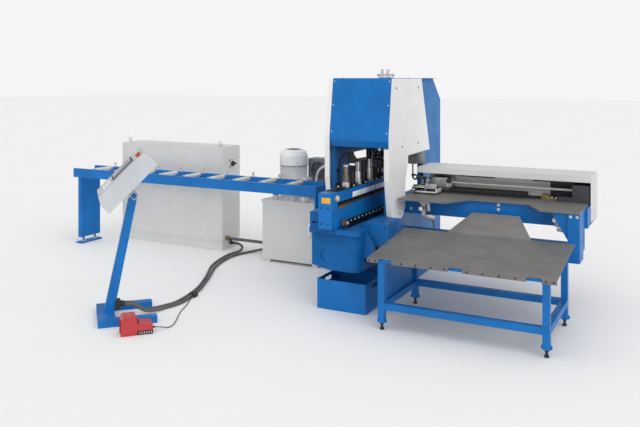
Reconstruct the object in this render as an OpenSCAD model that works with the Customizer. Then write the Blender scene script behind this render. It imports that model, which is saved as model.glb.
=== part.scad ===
// Flat bar punching line: hydraulic punch press with a sliding tool magazine, a roller infeed
// conveyor, a clamp feed with its table, a collecting table, hydraulic unit, cabinet and console.
// Millimetres, +Z up, +X along the bar feed. Origin on the floor under the ram axis.

/* [Press] */
// Width over the two side plates
press_w = 560; // [530:5:600]
// Thickness of each side plate
plate_t = 40; // [30:2:44]
// Height of the press frame
press_h = 1925; // [1900:5:2000]
// Front of the columns ahead of the ram axis
col_front = 480; // [460:5:490]
// Rear of the press body behind the ram axis
body_rear = 950; // [900:5:1000]
// Height of the bed
bed_z = 680; // [660:2:690]
// Diameter of the anchor holes in the floor plate
anchor_d = 22; // [14:1:30]
// Spacing of the anchor holes along X
anchor_x = 400; // [340:5:420]
// Spacing of the anchor holes along Y
anchor_y = 800; // [700:5:840]

/* [Pass line] */
// Height of the underside of the bar
pass_z = 885; // [880:1:890]

/* [Ram] */
// Diameter of the ram
ram_d = 90; // [60:2:110]
// Stroke of the ram and of the engaged punch
stroke = 40; // [30:1:44]
// Radial clearance of running fits
run_c = 0.05; // [0.02:0.01:0.1]
// Clear gap between sliding bodies
gap = 0.5; // [0.4:0.1:1]

/* [Magazine] */
// Spacing of the tool stations
station_p = 125; // [110:1:125]
// Width of the tool rail
rail_w = 120; // [100:2:130]
// Height of the tool rail
tool_rail_h = 85; // [70:1:90]
// Diameter of the punch bodies
punch_d = 28; // [22:1:34]
// Length of a punch above the tool rail
punch_up = 195; // [185:1:205]

/* [Feed unit] */
// Right end of the feed unit
feed_end = 1890; // [1800:5:2000]
// Thickness of the feed table plate
table_t = 12; // [8:1:15]
// Depth of the feed cover
cover_d = 400; // [380:5:440]
// Height of the feed cover above the table
cover_h = 230; // [215:1:250]
// Diameter of the guide rod
rod_d = 22; // [16:1:26]

/* [Collecting table] */
// Left side of the table frame
out_x0 = 515; // [500:5:540]
// Length of the table frame
out_len = 1280; // [1220:10:1320]
// Depth of the table frame
out_dep = 785; // [760:5:785]
// Height of the sheet at its front edge
out_h = 545; // [520:1:560]
// Square tube of the frame
tube = 50; // [40:2:60]
// Slope of the sheet in degrees
out_tilt = 6.5; // [5:0.5:8]
// length of the drop slide behind the collecting table, along its slope
slide_l = 300; // [260:10:320]
// slope of the drop slide
slide_a = 26; // [22:1:28]
// height of the folded front lip of the collecting table
lip_h = 26; // [20:1:32]

/* [Infeed conveyor] */
// Length of the conveyor rails
conv_len = 3190; // [3120:10:3300]
// Clear width between the rails
conv_w = 300; // [260:5:310]
// Height of the rails
rail_h = 100; // [80:2:110]
// Roller diameter
roller_d = 48; // [38:1:50]
// Roller spacing
roller_p = 324; // [300:2:328]
// First roller from the press end of the rails
roll_in = 320; // [300:5:340]
// Least room from the last roller to the free end of the rails
roll_end = 60; // [40:5:100]

/* [Cabinet] */
// Cabinet width
cab_w = 1460; // [1200:10:1460]
// Cabinet depth
cab_d = 345; // [300:5:400]
// Cabinet height
cab_h = 1155; // [1000:5:1300]

/* [Hydraulic unit] */
// Tank width
tank_w = 680; // [640:5:690]
// Tank depth
tank_d = 550; // [520:5:600]
// Tank height with its lid
tank_h = 650; // [600:5:680]
// Motor fan cowl diameter
motor_d = 300; // [260:5:310]
// Motor height
motor_h = 515; // [470:5:560]

/* [Console] */
// Length of the console housing along its slope
con_len = 525; // [480:5:560]
// Thickness of the console housing
con_t = 150; // [120:2:160]
// Width of the console housing
con_w = 420; // [360:5:480]
// Slope of the console in degrees
con_tilt = 45; // [40:1:50]
// Turn of the whole stand about the upright axis
con_turn = 46; // [40:1:52]

/* [Floor pieces] */
// Scrap bin width
bin_w = 442; // [380:2:450]
// Scrap bin depth
bin_d = 400; // [360:5:420]
// Scrap bin height
bin_h = 245; // [200:5:260]
// Foot switch length
foot_l = 235; // [225:5:260]
// Foot switch width
foot_w = 120; // [110:2:150]
// Turn of the foot switch about the upright axis
foot_turn = 48; // [40:1:56]
// Outer diameter of the floor conduits
conduit_d = 26; // [20:1:30]
// Diameter of the pedal cable
cable_d = 8; // [6:1:10]
// Outer diameter of the pressure hose
hose_d = 26; // [20:1:30]

/* [Hidden] */
$fn = 48;
e = 0.01;
stations = 7;
rollers = 9;
half_w = press_w / 2;
in_w = press_w - 2 * plate_t;
half_in = in_w / 2;
floor_t = 25;
bed_t = 45;
wall_t = 40;
throat_rear = 360;
win_front = 170;
win_z0 = pass_z - 25;
win_z1 = 1222;
crown_z0 = 1300;
crown_t = 80;
sheet = 4;
way_h = 20;
way_x = 32;
way_w = 24;
rail_z0 = pass_z + 20;
rail_z1 = rail_z0 + tool_rail_h;
sleeve_h = 40;
sleeve_d = punch_d + 32;
head_d = punch_d + 18;
head_t = 20;
head_z = rail_z1 + punch_up;
tip_z = rail_z0 + 3;
mag_y0 = -1154;
mag_y1 = 170;
arm_z0 = bed_z + way_h + gap;
die_t = 18;
arm_z1 = pass_z - 10 - die_t;
die_w = rail_w - 24;
ram_z0 = head_z + gap;
ledge_t = 40;
ledge_y0 = -1050;
house_y0 = -1000;
house_x0 = -200;
house_x1 = 235;
chain_x = rail_w / 2 + 32;
chain_z = bed_z + 48;
spr_y = -965;
spr_d = 74;
pin_d = 20;
clad_t = 45;
clad_left_t = 16;
clad_x = half_w + clad_t;
clad_top = press_h + sheet;
band_x = half_w - 32;
head_y = -575;
brow_y = -500;
knee_z = press_h - 505;
lip_z = press_h - 550;
lip_z0 = press_h - 607;
ram_top = press_h - 215;
table_z1 = pass_z - 15;
table_z0 = table_z1 - table_t;
table_x0 = clad_x + 20;
table_y0 = -425;
beam_h = 160;
beam_z0 = table_z0 - beam_h;
cover_y0 = 50;
cover_y1 = cover_y0 + cover_d;
cover_z = table_z1 + cover_h;
rod_y = 150;
rod_z = pass_z + 78;
guide_x0 = table_x0 + 70;
motor_x0 = feed_end - 150;
guide_y0 = 245;
jaw_x = table_x0 + 105;
jaw_z = rod_z - 22;
jaw_pin = 10;
out_x1 = out_x0 + out_len;
out_y1 = -480;
out_y0 = out_y1 - out_dep;
sheet_x0 = out_x0 - 75;
sheet_x1 = out_x1 + 55;
sheet_y0 = out_y0 - 35;
slope = tan(out_tilt);
leg_z0 = 55;
low_z = 158;
top_bar = 30;
conv_x1 = -610;
conv_x0 = conv_x1 - conv_len;
rail_t = 35;
rail_top = pass_z - 10;
rail_bot = rail_top - rail_h;
roll_z = pass_z - roller_d / 2;
roll_x = conv_x1 - roll_in;
roll_count = min(rollers, floor((conv_len - roll_in - roll_end) / roller_p) + 1);
web_z0 = 1085;
beam_front = 130;
beam_rear = 440;
cover_bot = 720;
cover_drop = 20;
journal_d = 12;
cab_x1 = -2030;
cab_y0 = 298;
cab_y1 = cab_y0 + cab_d;
tank_x0 = -1400;
tank_y0 = 132;
motor_x = -1175;
motor_y = 405;
cool_x = tank_x0 + 350;
cool_w = 250;
cool_y = 500;
cool_d = 160;
cool_h = 415;
stand_x = -1515;
stand_y = -2010;
bar_z = 50;
bar_w = 80;
bar_x0 = -90;
bar_x1 = 360;
bar_y = 245;
pivot_x = 195;
pivot_z = 978;
pivot_d = 16;
pivot_head = 50;
con_lug = 65;
con_n = con_lug + con_t / 2;
con_top = 310;
con_mid = con_top - con_len / 2;
foot_x = -1158;
foot_y = -2266;
hood_l = 112;
hood_h = 145;
foot_h = 88;
hinge_x = hood_l + 8;
hinge_z = 40;
bin_x0 = -149;
bin_y0 = -1000;
blue = [0.10, 0.36, 0.66];
white = [0.90, 0.90, 0.91];
steel = [0.72, 0.73, 0.74];
grey = [0.46, 0.46, 0.46];
pale = [0.74, 0.74, 0.74];
dark = [0.12, 0.12, 0.13];
red = [0.70, 0.20, 0.22];

function station_y(i) = (i - stations) * station_p;
function roller_x(i) = roll_x - (i - 1) * roller_p;
function unit(v) = v / norm(v);
function line_cut(p, a, q, b) =
  p + a * ((q[0] - p[0]) * b[1] - (q[1] - p[1]) * b[0]) / (a[0] * b[1] - a[1] * b[0]);
function inset(p, d) = [for (i = [0 : len(p) - 1])
  let (n = len(p), u = unit(p[i] - p[(i + n - 1) % n]), v = unit(p[(i + 1) % n] - p[i]))
  line_cut(p[i] + d * [-u[1], u[0]], u, p[i] + d * [-v[1], v[0]], v)];

// Box between two corners.
module box(x0, y0, z0, x1, y1, z1) {
  translate([x0, y0, z0])
    cube([x1 - x0, y1 - y0, z1 - z0]);
}

// Profile in Y and Z drawn out along X.
module along_x(x0, x1) {
  translate([x0, 0, 0])
    rotate([90, 0, 90])
      linear_extrude(x1 - x0)
        children();
}

// Profile in X and Z drawn out along Y.
module along_y(y0, y1) {
  translate([0, y1, 0])
    rotate([90, 0, 0])
      linear_extrude(y1 - y0)
        children();
}

// Upright cylinder from z0 to z1.
module post(x, y, z0, z1, d) {
  translate([x, y, z0])
    cylinder(h = z1 - z0, d = d);
}

// Cylinder along X from x0 to x1.
module rod_x(x0, x1, y, z, d) {
  translate([x0, y, z])
    rotate([0, 90, 0])
      cylinder(h = x1 - x0, d = d);
}

// Cylinder along Y from y0 to y1.
module rod_y(x, y0, y1, z, d) {
  translate([x, y1, z])
    rotate([90, 0, 0])
      cylinder(h = y1 - y0, d = d);
}

// Welded press frame: side plates with the bar window, bed, walls, crown and floor plate. Between
// bed and head it is open front to back, so the magazine runs right through.
module press_frame() color(blue) {
  difference() {
    union() {
      for (x = [-half_w, half_in])
        along_x(x, x + plate_t)
          difference() {
            polygon([[-col_front, 0], [body_rear, 0], [body_rear, press_h - 215],
              [body_rear - 240, press_h], [-col_front, press_h]]);
            translate([-win_front, win_z0])
              square([win_front + throat_rear, win_z1 - win_z0]);
          }
      box(-half_in, -col_front, 0, half_in, body_rear, floor_t);
      box(-half_in, -col_front, floor_t, half_in, -col_front + 25, bed_z - bed_t);
      box(-half_in, -col_front, bed_z - bed_t, half_in, body_rear, bed_z);
      box(-half_in, throat_rear, win_z1, half_in, throat_rear + wall_t, press_h - wall_t);
      box(-half_in, body_rear - wall_t, floor_t, half_in, body_rear, bed_z);
      box(-half_in, body_rear - wall_t, win_z1, half_in, body_rear, press_h - 240);
      box(-half_in, -300, crown_z0, half_in, throat_rear, crown_z0 + crown_t);
      box(-half_in, -col_front, press_h - wall_t, half_in, body_rear - 240, press_h);
      along_x(-half_in, half_in)
        polygon([[body_rear - 242, press_h - wall_t], [body_rear, press_h - 260], [body_rear, press_h - 215],
          [body_rear - 240, press_h]]);
      guide_ways(-col_front, body_rear);
    }
    post(0, 0, crown_z0 - e, crown_z0 + crown_t + e, ram_d + 2 * run_c);
    for (x = [-1, 1])
      for (y = [-1, 1])
        post(x * anchor_x / 2, y * anchor_y / 2, -e, floor_t + e, anchor_d);
  }
}

// Pair of slide ways the magazine runs on.
module guide_ways(y0, y1) {
  for (s = [-1, 1])
    box(s * (way_x + way_w / 2) - way_w / 2, y0, bed_z - e,
      s * (way_x + way_w / 2) + way_w / 2, y1, bed_z + way_h);
}

// Outline of the chute housing seen from above, one front corner rounded.
module housing_plan(d) {
  difference() {
    translate([house_x0 + d, house_y0 + d])
      square([house_x1 - house_x0 - 2 * d, -col_front - house_y0 - d]);
    translate([house_x1 - 90, house_y0 - 1])
      difference() {
        square(91);
        translate([0, 91])
          circle(r = 90 - d);
      }
  }
}

// Front base: chute housing over the bin, top ledge, guide block, drive box and sprocket pin.
module base_housing() color(blue) {
  difference() {
    union() {
      translate([0, 0, 330])
        linear_extrude(bed_z - ledge_t - 330)
          housing_plan(0);
      box(house_x0, ledge_y0, bed_z - ledge_t, half_in - 10, -col_front, bed_z);
      box(house_x0, ledge_y0, bed_z - ledge_t, 262, -600, bed_z);
      guide_ways(ledge_y0, -col_front);
      box(house_x0 + 8, ledge_y0, bed_z, -rail_w / 2 - 12, -col_front, bed_z + 135);
      box(house_x1 - e, -860, 540, 430, -560, bed_z + 48);
      along_y(-900, -880)
        polygon([[house_x1 - e, bed_z - ledge_t], [262, bed_z - ledge_t], [330, 560], [330, 440],
          [house_x1 - e, 440]]);
      box(house_x1 - e, -900, 440, 330, -560, 455);
    }
    difference() {
      translate([0, 0, 330 - e])
        linear_extrude(bed_z - ledge_t - 330 - 12)
          housing_plan(10);
      box(house_x0 - 1, -900, 560, house_x1 - 10, -560, bed_z);
    }
    along_y(house_y0 - e, -col_front - 20)
      polygon([[house_x0 - 1, 329], [house_x0 - 1, 362], [-40, 329]]);
    along_y(house_y0 - 1, house_y0 + 9)
      translate([-70, 448])
        difference() {
          circle(r = 52);
          translate([26, 0])
            circle(r = 54);
        }
    box(house_x1 - 20, -905, 400, house_x1 + 1, -905 + 110, 436);
    for (x = [-170, -128])
      box(x, ledge_y0 - e, bed_z + 40, x + 34, ledge_y0 + 30, bed_z + 56);
    box(house_x1 + 12, -855, 539, 418, -565, bed_z + 43);
  }
  rod_x(rail_w / 2 + 6, chain_x + 24, spr_y, chain_z, pin_d);
  box(rail_w / 2 + 4, spr_y - 20, bed_z - e, rail_w / 2 + 14, spr_y + 20, chain_z + 16);
}

// Folded blue head panel: sloped front, lower lip and top sheet.
module front_panel() color(blue) {
  along_x(-band_x, clad_x - 4)
    polygon([[brow_y, clad_top], [head_y, knee_z], [head_y, lip_z], [head_y + 30, lip_z0],
      [head_y + 34, lip_z0 + 2], [head_y + 4, lip_z + 1], [head_y + 4, knee_z],
      [brow_y + 3, clad_top - sheet], [body_rear - 245, press_h], [body_rear - 245, clad_top]]);
}

// Side view of the white head cladding with its leg in front of the column.
function clad_profile() = [[-505, 660], [-375, 640], [-240, 690], [-182, 765], [-182, 980],
  [-105, win_z1 - 2], [486, win_z1 + 4], [251, clad_top - sheet], [brow_y - 1, clad_top - sheet],
  [head_y, knee_z], [head_y, 1040]];

// White sheet tray outside one side plate; the rim stands on the plate.
module cladding(deep, lapped) {
  prof = clad_profile();
  along_x(half_w + deep - 3, half_w + deep)
    polygon(prof);
  along_x(half_w, half_w + deep - 3 + e)
    difference() {
      polygon(prof);
      polygon(inset(prof, 3));
      if (lapped)
        polygon([[head_y - 25, lip_z0 - 8], [head_y + 45, lip_z0 - 8], [head_y + 11, lip_z + 5],
          [head_y + 11, knee_z], [brow_y + 9, clad_top - sheet + 1], [head_y - 25, clad_top]]);
    }
}

// Left head cladding with the front band beside the panel.
module cladding_left() color(white) {
  mirror([1, 0, 0]) {
    cladding(clad_left_t, false);
    along_x(band_x + 2, half_w + e)
      polygon([[-505, 660], [head_y, 1040], [head_y, knee_z], [brow_y - 1, clad_top - sheet],
        [brow_y + 2, clad_top - sheet], [head_y + 3, knee_z], [head_y + 3, 1040], [-502, 660]]);
  }
}

// Right head cladding, lapped by the panel, with a web over the front of the plate.
module cladding_right() color(white) {
  cladding(clad_t, true);
  box(half_in, -col_front - 3, web_z0, clad_x - 3 + e, -col_front - gap / 5, lip_z0 - 8);
}

// Pressure pipe fitting on top of the head.
module top_fitting() color(grey) {
  z = clad_top;
  box(120, -330, z, 250, -280, z + 12);
  rod_x(105, 265, -305, z + 30, 16);
  for (x = [112, 258])
    translate([x, -305, z + 30])
      sphere(d = 26);
  for (x = [150, 205])
    post(x, -305, z + 11, z + 82, 26);
}

// Hydraulic cylinder on the crown plate.
module ram_cylinder() color(pale) {
  difference() {
    union() {
      post(0, 0, crown_z0 + crown_t, crown_z0 + crown_t + 35, ram_d + 160);
      post(0, 0, crown_z0 + crown_t + 35, press_h - wall_t, ram_d + 110);
    }
    post(0, 0, crown_z0, press_h - wall_t - 60, ram_d + 2 * run_c);
  }
}

// Ram rod.
module ram() color(steel) {
  post(0, 0, ram_z0, ram_top, ram_d);
}

// Bar end sensor block hung from the right bar window.
module bar_sensor() color(grey) {
  box(half_in - 30, 190, win_z1 - 115, half_w + 5, 290, win_z1);
  post(half_in, 240, win_z1 - 215, win_z1 - 114, 14);
  post(half_in, 240, win_z1 - 240, win_z1 - 214, 26);
}

// Sliding magazine body: lower arm and front post.
module magazine() color(blue) {
  box(-rail_w / 2, mag_y0, arm_z0, rail_w / 2, mag_y1, arm_z1);
  box(-rail_w / 2, mag_y0, arm_z1 - e, rail_w / 2, mag_y0 + 120, rail_z0);
}

// Upper tool rail with pressed-in guide sleeves.
module tool_rail() color(blue) {
  difference() {
    union() {
      box(-rail_w / 2, mag_y0, rail_z0, rail_w / 2, mag_y1, rail_z1);
      for (i = [1 : stations])
        post(0, station_y(i), rail_z1 - e, rail_z1 + sleeve_h, sleeve_d);
    }
    for (i = [1 : stations])
      post(0, station_y(i), rail_z0 - e, rail_z1 + sleeve_h + e, punch_d + 2 * run_c);
  }
}

// Steel die plate on the lower arm with one die hole per station.
module die_plate() color(steel) {
  difference() {
    box(-die_w / 2, mag_y0 + 120, arm_z1, die_w / 2, mag_y1 - 10, arm_z1 + die_t);
    for (i = [1 : stations])
      post(0, station_y(i), arm_z1 - e, arm_z1 + die_t + e, punch_d);
  }
}

// One punch: tip, guided body and striking head.
module punch(i) {
  post(0, station_y(i), tip_z, rail_z0 + 20, punch_d - 8);
  post(0, station_y(i), rail_z0 + 20 - e, head_z - head_t, punch_d);
  post(0, station_y(i), head_z - head_t - e, head_z, head_d);
}

// Drive chain laid along the magazine.
module magazine_chain() color(dark) {
  box(chain_x - 9, spr_y + 52, bed_z, chain_x + 9, -col_front - 4, chain_z - 10);
  for (y = [spr_y + 58 : 38 : -col_front - 44]) {
    box(chain_x - 14, y, chain_z - 10 - e, chain_x + 14, y + 22, chain_z + 14);
    rod_x(chain_x - 11, chain_x + 11, y + 30, chain_z, 16);
    box(chain_x - 6, y + 21, chain_z - 10 - e, chain_x + 6, y + 39, chain_z + 6);
  }
}

// Front sprocket of the drive chain.
module sprocket() color(steel) {
  difference() {
    union() {
      rod_x(chain_x - 12, chain_x + 12, spr_y, chain_z, spr_d);
      rod_x(chain_x - 16, chain_x + 20, spr_y, chain_z, 44);
    }
    rod_x(chain_x - 30, chain_x + 40, spr_y, chain_z, pin_d + 2 * run_c);
  }
}

// Welded carrier of the feed unit: two beams, cross members, lower tie and end bracket.
module feed_frame() color(blue) {
  box(half_w, -beam_front, beam_z0, feed_end - 20, 50, table_z0);
  box(half_w, 300, beam_z0, feed_end - 20, 400, table_z0);
  box(feed_end - 60, -beam_front, beam_z0, feed_end, beam_rear, table_z0);
  box(1000, 49, beam_z0 + 30, 1080, 301, table_z0);
  box(feed_end - 112, -420, 470, feed_end - 20, -220, table_z0);
  box(feed_end - 112, -221, beam_z0, feed_end - 20, -129, table_z0);
  box(half_w, -60, 500, feed_end - 40, 0, 550);
  box(feed_end - 90, -221, 500, feed_end - 40, -59, 550);
  box(feed_end - 90, -60, 500, feed_end - 40, 0, beam_z0 + e);
  along_y(-400, -380)
    polygon([[feed_end - 112 + e, table_z0], [feed_end - 232, table_z0], [feed_end - 232, table_z0 - 22],
      [feed_end - 112 + e, 640]]);
}

// Feed table plate with the drop notch in its front edge.
module feed_table() color(grey) {
  translate([0, 0, table_z0])
    linear_extrude(table_t)
      polygon([[table_x0, table_y0], [785, table_y0], [918, -165], [1404, -165], [1556, table_y0],
        [feed_end - 20, table_y0], [feed_end - 20, cover_y1 - 3], [table_x0, cover_y1 - 3]]);
}

// Linear guide: light grey extruded beam with slots, rear stop wall and round rod in two blocks.
module feed_guide() color(pale) {
  difference() {
    box(guide_x0, guide_y0, table_z1, feed_end - 6, guide_y0 + 150, rod_z + 70);
    for (z = [table_z1 + 60, table_z1 + 110])
      box(guide_x0 - 1, guide_y0 - 1, z, feed_end, guide_y0 + 8, z + 10);
  }
  rod_x(guide_x0 + 30, motor_x0, rod_y, rod_z, rod_d);
  box(guide_x0, rod_y - 30, table_z1, guide_x0 + 32, guide_y0 + e, rod_z + 28);
}

// White feed cover: top, front lip, rear wall and right end cap.
module feed_cover() color(white) {
  box(table_x0 + 10, cover_y0, cover_z - 3, feed_end + 3, cover_y1, cover_z);
  box(table_x0 + 10, cover_y0, cover_z - 52, feed_end + 3, cover_y0 + 3, cover_z);
  box(table_x0 + 10, cover_y1 - 3, cover_bot, feed_end + 3, cover_y1, cover_z);
  along_x(feed_end, feed_end + 3)
    polygon([[cover_y0, cover_bot], [cover_y1, cover_bot - cover_drop], [cover_y1, cover_z], [cover_y0, cover_z]]);
}

// Feed drive at the right end: motor box and gear block.
module feed_motor() color(dark) {
  box(motor_x0, cover_y0 + 10, table_z1, feed_end - 12, 240, rod_z + 56);
  box(motor_x0 - 120, 60, table_z1, motor_x0 + e, 125, table_z1 + 40);
}

// Dark tray for the feed cable chain, one end rounded.
module chain_tray() color(dark) {
  translate([0, 0, table_z1])
    linear_extrude(10) {
      translate([620, 95])
        square([700, 140]);
      intersection() {
        translate([1320, 235])
          circle(r = 140);
        translate([1319, 95])
          square([141, 140]);
      }
    }
}

// Two compressed air units hung under the feed table.
module air_units() color(steel) {
  for (x = [560, feed_end - 190]) {
    box(x - 45, -330, table_z0 - 30, x + 45, -270, table_z0);
    post(x - 20, -300, table_z0 - 130, table_z0 - 29, 46);
    post(x + 26, -300, table_z0 - 95, table_z0 - 29, 34);
    rod_y(x - 20, -365, -318, table_z0 - 70, 40);
  }
}

// Sheet height over the frame at depth y.
function out_z(y) = out_h + (y - sheet_y0) * slope;

// Welded tube frame of the collecting table with its side sheet.
module outfeed_frame() color(blue) {
  for (x = [out_x0, out_x1 - tube]) {
    box(x, out_y0, leg_z0, x + tube, out_y0 + tube, out_z(out_y0) - 8);
    box(x, out_y1 - tube, leg_z0, x + tube, out_y1, out_z(out_y1 - tube) - 8);
    box(x, out_y0 + tube - e, low_z, x + tube, out_y1 - tube + e, low_z + tube);
    along_x(x, x + tube)
      polygon([[out_y0, out_z(out_y0) - tube], [out_y1, out_z(out_y1) - tube], [out_y1, out_z(out_y1)],
        [out_y0, out_z(out_y0)]]);
    for (y = [out_y0, out_y1 - tube])
      along_y(y + tube / 2 - 4, y + tube / 2 + 4)
        polygon([[x - 14, leg_z0], [x + tube + 14, leg_z0], [x + tube + 14, leg_z0 + 20],
          [x + tube - 2, leg_z0 + 42], [x + 2, leg_z0 + 42], [x - 14, leg_z0 + 20]]);
  }
  for (y = [out_y0, out_y1 - tube]) {
    box(out_x0 + tube - e, y, low_z, out_x1 - tube + e, y + tube, low_z + tube);
    box(out_x0 + tube - e, y, out_z(y) - top_bar, out_x1 - tube + e, y + tube, out_z(y) - 0.5);
  }
  box(out_x0 + 20, out_y0 + tube - e, low_z + tube - e,
    out_x0 + 23, out_y1 - tube + e, out_z(out_y0) - tube + 8);
}

// Collecting sheet: sloped plate with a notched lip and a folded-up drop slide.
module outfeed_sheet() color(grey) {
  bend_y = out_y1 - 26;
  end_y = bend_y + slide_l * cos(slide_a);
  front_z = out_h + sheet;
  bend_z = front_z + (bend_y - sheet_y0) * slope;
  end_z = bend_z + slide_l * sin(slide_a);
  wide = sheet_x1 - sheet_x0;
  difference() {
    along_x(sheet_x0, sheet_x1)
      polygon([[sheet_y0, out_h - lip_h], [sheet_y0, front_z], [bend_y, bend_z], [end_y, end_z],
        [end_y, end_z - sheet], [bend_y, bend_z - sheet], [sheet_y0 + sheet, out_h + sheet * slope],
        [sheet_y0 + sheet, out_h - lip_h]]);
    for (x = [90, 640, 1200])
      translate([sheet_x0 + x, sheet_y0, out_h - lip_h - 1])
        linear_extrude(lip_h + 20)
          polygon([[0, -1], [110, -1], [95, 22], [15, 22]]);
    translate([sheet_x0, bend_y + 1, out_h]) {
      linear_extrude(slide_l)
        polygon([[-1, 0], [385, 0], [540, slide_l], [-1, slide_l]]);
      linear_extrude(slide_l)
        polygon([[wide + 1, 0], [1075, 0], [905, slide_l], [wide + 1, slide_l]]);
    }
  }
}

// Levelling feet of the collecting table.
module outfeed_feet() color(dark) {
  for (x = [out_x0, out_x1 - tube])
    for (y = [out_y0, out_y1 - tube])
      translate([x + tube / 2, y + tube / 2, 0]) {
        cylinder(h = 14, d = 34);
        translate([0, 0, 13])
          cylinder(h = leg_z0 - 13, d = 20);
        translate([0, 0, leg_z0 - 16])
          cylinder(h = 16, d = 30, $fn = 6);
      }
}

// Welded infeed conveyor: rails, cross bars, left leg, right end plate, press bracket and a guide
// stud beside each roller.
module conveyor_frame() color(blue) {
  difference() {
    for (s = [-1, 1])
      box(conv_x0, s * (conv_w + rail_t) / 2 - rail_t / 2, rail_bot,
        conv_x1, s * (conv_w + rail_t) / 2 + rail_t / 2, rail_top);
    for (i = [1 : roll_count])
      rod_y(roller_x(i), -conv_w / 2 - rail_t + 8, conv_w / 2 + rail_t - 8, roll_z, journal_d + 2 * run_c);
  }
  for (x = [conv_x0 + 20, conv_x0 + conv_len / 2, conv_x1 - 90])
    box(x, -conv_w / 2 - e, rail_bot + 8, x + 50, conv_w / 2 + e, rail_bot + 38);
  box(conv_x1 - e, -conv_w / 2 - rail_t, 640, conv_x1 + 14, conv_w / 2 + rail_t, rail_top);
  box(conv_x1 + 13, -70, 660, -half_w, 110, 760);
  box(conv_x0 + 40, -conv_w / 2, 70, conv_x0 + 90, conv_w / 2, rail_bot + 9);
  box(conv_x0 + 20, -conv_w / 2 - 10, 0, conv_x0 + 110, conv_w / 2 + 10, 18);
  for (y = [-90, 90])
    post(conv_x0 + 65, y, 17, 71, 22);
  for (i = [1 : roll_count]) {
    post(roller_x(i) + 40, (conv_w + rail_t) / 2, rail_top - e, rail_top + 14, 30);
    post(roller_x(i) + 40, (conv_w + rail_t) / 2, rail_top + 13, rail_top + 46, 20);
  }
}

// One zinc-plated roller with turned journals.
module roller(i) {
  if (i <= roll_count) {
    rod_y(roller_x(i), -conv_w / 2 + 3, conv_w / 2 - 3, roll_z, roller_d);
    rod_y(roller_x(i), -conv_w / 2 - rail_t + 10, conv_w / 2 + rail_t - 10, roll_z, journal_d);
  }
}

// Electrical cabinet: box on a set-back plinth with a door joint.
module cabinet() color(pale) {
  x0 = cab_x1 - cab_w;
  difference() {
    box(x0 + plinth_in, cab_y0 + 12, 0, cab_x1 - plinth_in, cab_y1 - 12, 101);
    box(x0 + plinth_in + 6, cab_y0 + 18, -1, cab_x1 - plinth_in - 6, cab_y1 - 18, 99);
  }
  difference() {
    box(x0, cab_y0, 100, cab_x1, cab_y1, cab_h);
    box(x0 + 4, cab_y0 + 4, 104, cab_x1 - 4, cab_y1 - 4, cab_h - 4);
    for (x = [x0 + 22, x0 + cab_w / 2, cab_x1 - 24])
      box(x, cab_y0 - 1, 124, x + 2, cab_y0 + 2, cab_h - 22);
    for (z = [122, cab_h - 24])
      box(x0 + 22, cab_y0 - 1, z, cab_x1 - 22, cab_y0 + 2, z + 2);
  }
  rod_x(cab_x1 - e, cab_x1 + 14, (cab_y0 + cab_y1) / 2, cab_h - 195, 84);
  rod_x(cab_x1 + 14 - e, cab_x1 + 44, (cab_y0 + cab_y1) / 2, cab_h - 195, 10);
}

// Lifting eyes on the cabinet roof.
module lifting_eyes() color(steel) {
  for (x = [cab_x1 - cab_w + 70, cab_x1 - 70]) {
    post(x, cab_y0 + 60, cab_h, cab_h + 12, 36);
    translate([x, cab_y0 + 60, cab_h + 36])
      rotate([90, 0, 0])
        rotate_extrude()
          translate([20, 0])
            circle(d = 12);
    post(x, cab_y0 + 60, cab_h + 11, cab_h + 20, 16);
  }
}

// Turning handle of the main switch.
module main_switch() color(dark) {
  y = (cab_y0 + cab_y1) / 2;
  difference() {
    union() {
      rod_x(cab_x1 + 14 + gap, cab_x1 + 30, y, cab_h - 195, 58);
      box(cab_x1 + 29, y - 34, cab_h - 207, cab_x1 + 48, y + 34, cab_h - 183);
    }
    rod_x(cab_x1, cab_x1 + 44 + 1, y, cab_h - 195, 10 + 2 * run_c);
  }
}

// Oil tank with lid, feet, filler and level glass.
module tank() color(pale) {
  x1 = tank_x0 + tank_w;
  y1 = tank_y0 + tank_d;
  for (x = [tank_x0 + 30, x1 - 90])
    box(x, tank_y0 + 10, 0, x + 60, y1 - 10, 31);
  difference() {
    box(tank_x0, tank_y0, 30, x1, y1, tank_h - 24);
    box(tank_x0 + 6, tank_y0 + 6, 36, x1 - 6, y1 - 6, tank_h - 30);
  }
  box(tank_x0 - 12, tank_y0 - 6, tank_h - 24 - e, x1 + 12, y1 + 12, tank_h);
  post(tank_x0 + 110, tank_y0 + 90, tank_h - e, tank_h + 55, 60);
  post(tank_x0 + 340, tank_y0 + 60, tank_h - e, tank_h + 40, 36);
  box(tank_x0 + 420, tank_y0 + 40, tank_h - e, tank_x0 + 520, tank_y0 + 90, tank_h + 45);
  box(x1 - 130, tank_y0 - 12, 300, x1 - 100, tank_y0 + e, 480);
}

// Upright pump motor: flange, finned body, terminal box and domed fan cowl.
module pump_motor() color(pale) {
  z0 = tank_h;
  z1 = tank_h + motor_h * 0.68;
  z2 = tank_h + motor_h;
  translate([motor_x, motor_y, 0]) {
    translate([0, 0, z0])
      cylinder(h = 22, d = motor_d - 10);
    translate([0, 0, z0 + 21])
      cylinder(h = z1 - z0 - 20, d = motor_d - 44);
    for (a = [0 : 12 : 348])
      rotate([0, 0, a])
        translate([motor_d / 2 - 28, -2, z0 + 40])
          cube([24, 4, z1 - z0 - 44]);
    translate([0, 0, z1])
      rotate_extrude()
        polygon([[0, 0], [motor_d / 2, 0], [motor_d / 2, (z2 - z1) * 0.62],
          [motor_d / 2 - 18, (z2 - z1) * 0.88], [motor_d / 2 - 48, z2 - z1], [0, z2 - z1]]);
    translate([motor_d / 2 - 40, -50, z0 + 110])
      cube([86, 100, 110]);
  }
}

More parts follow.
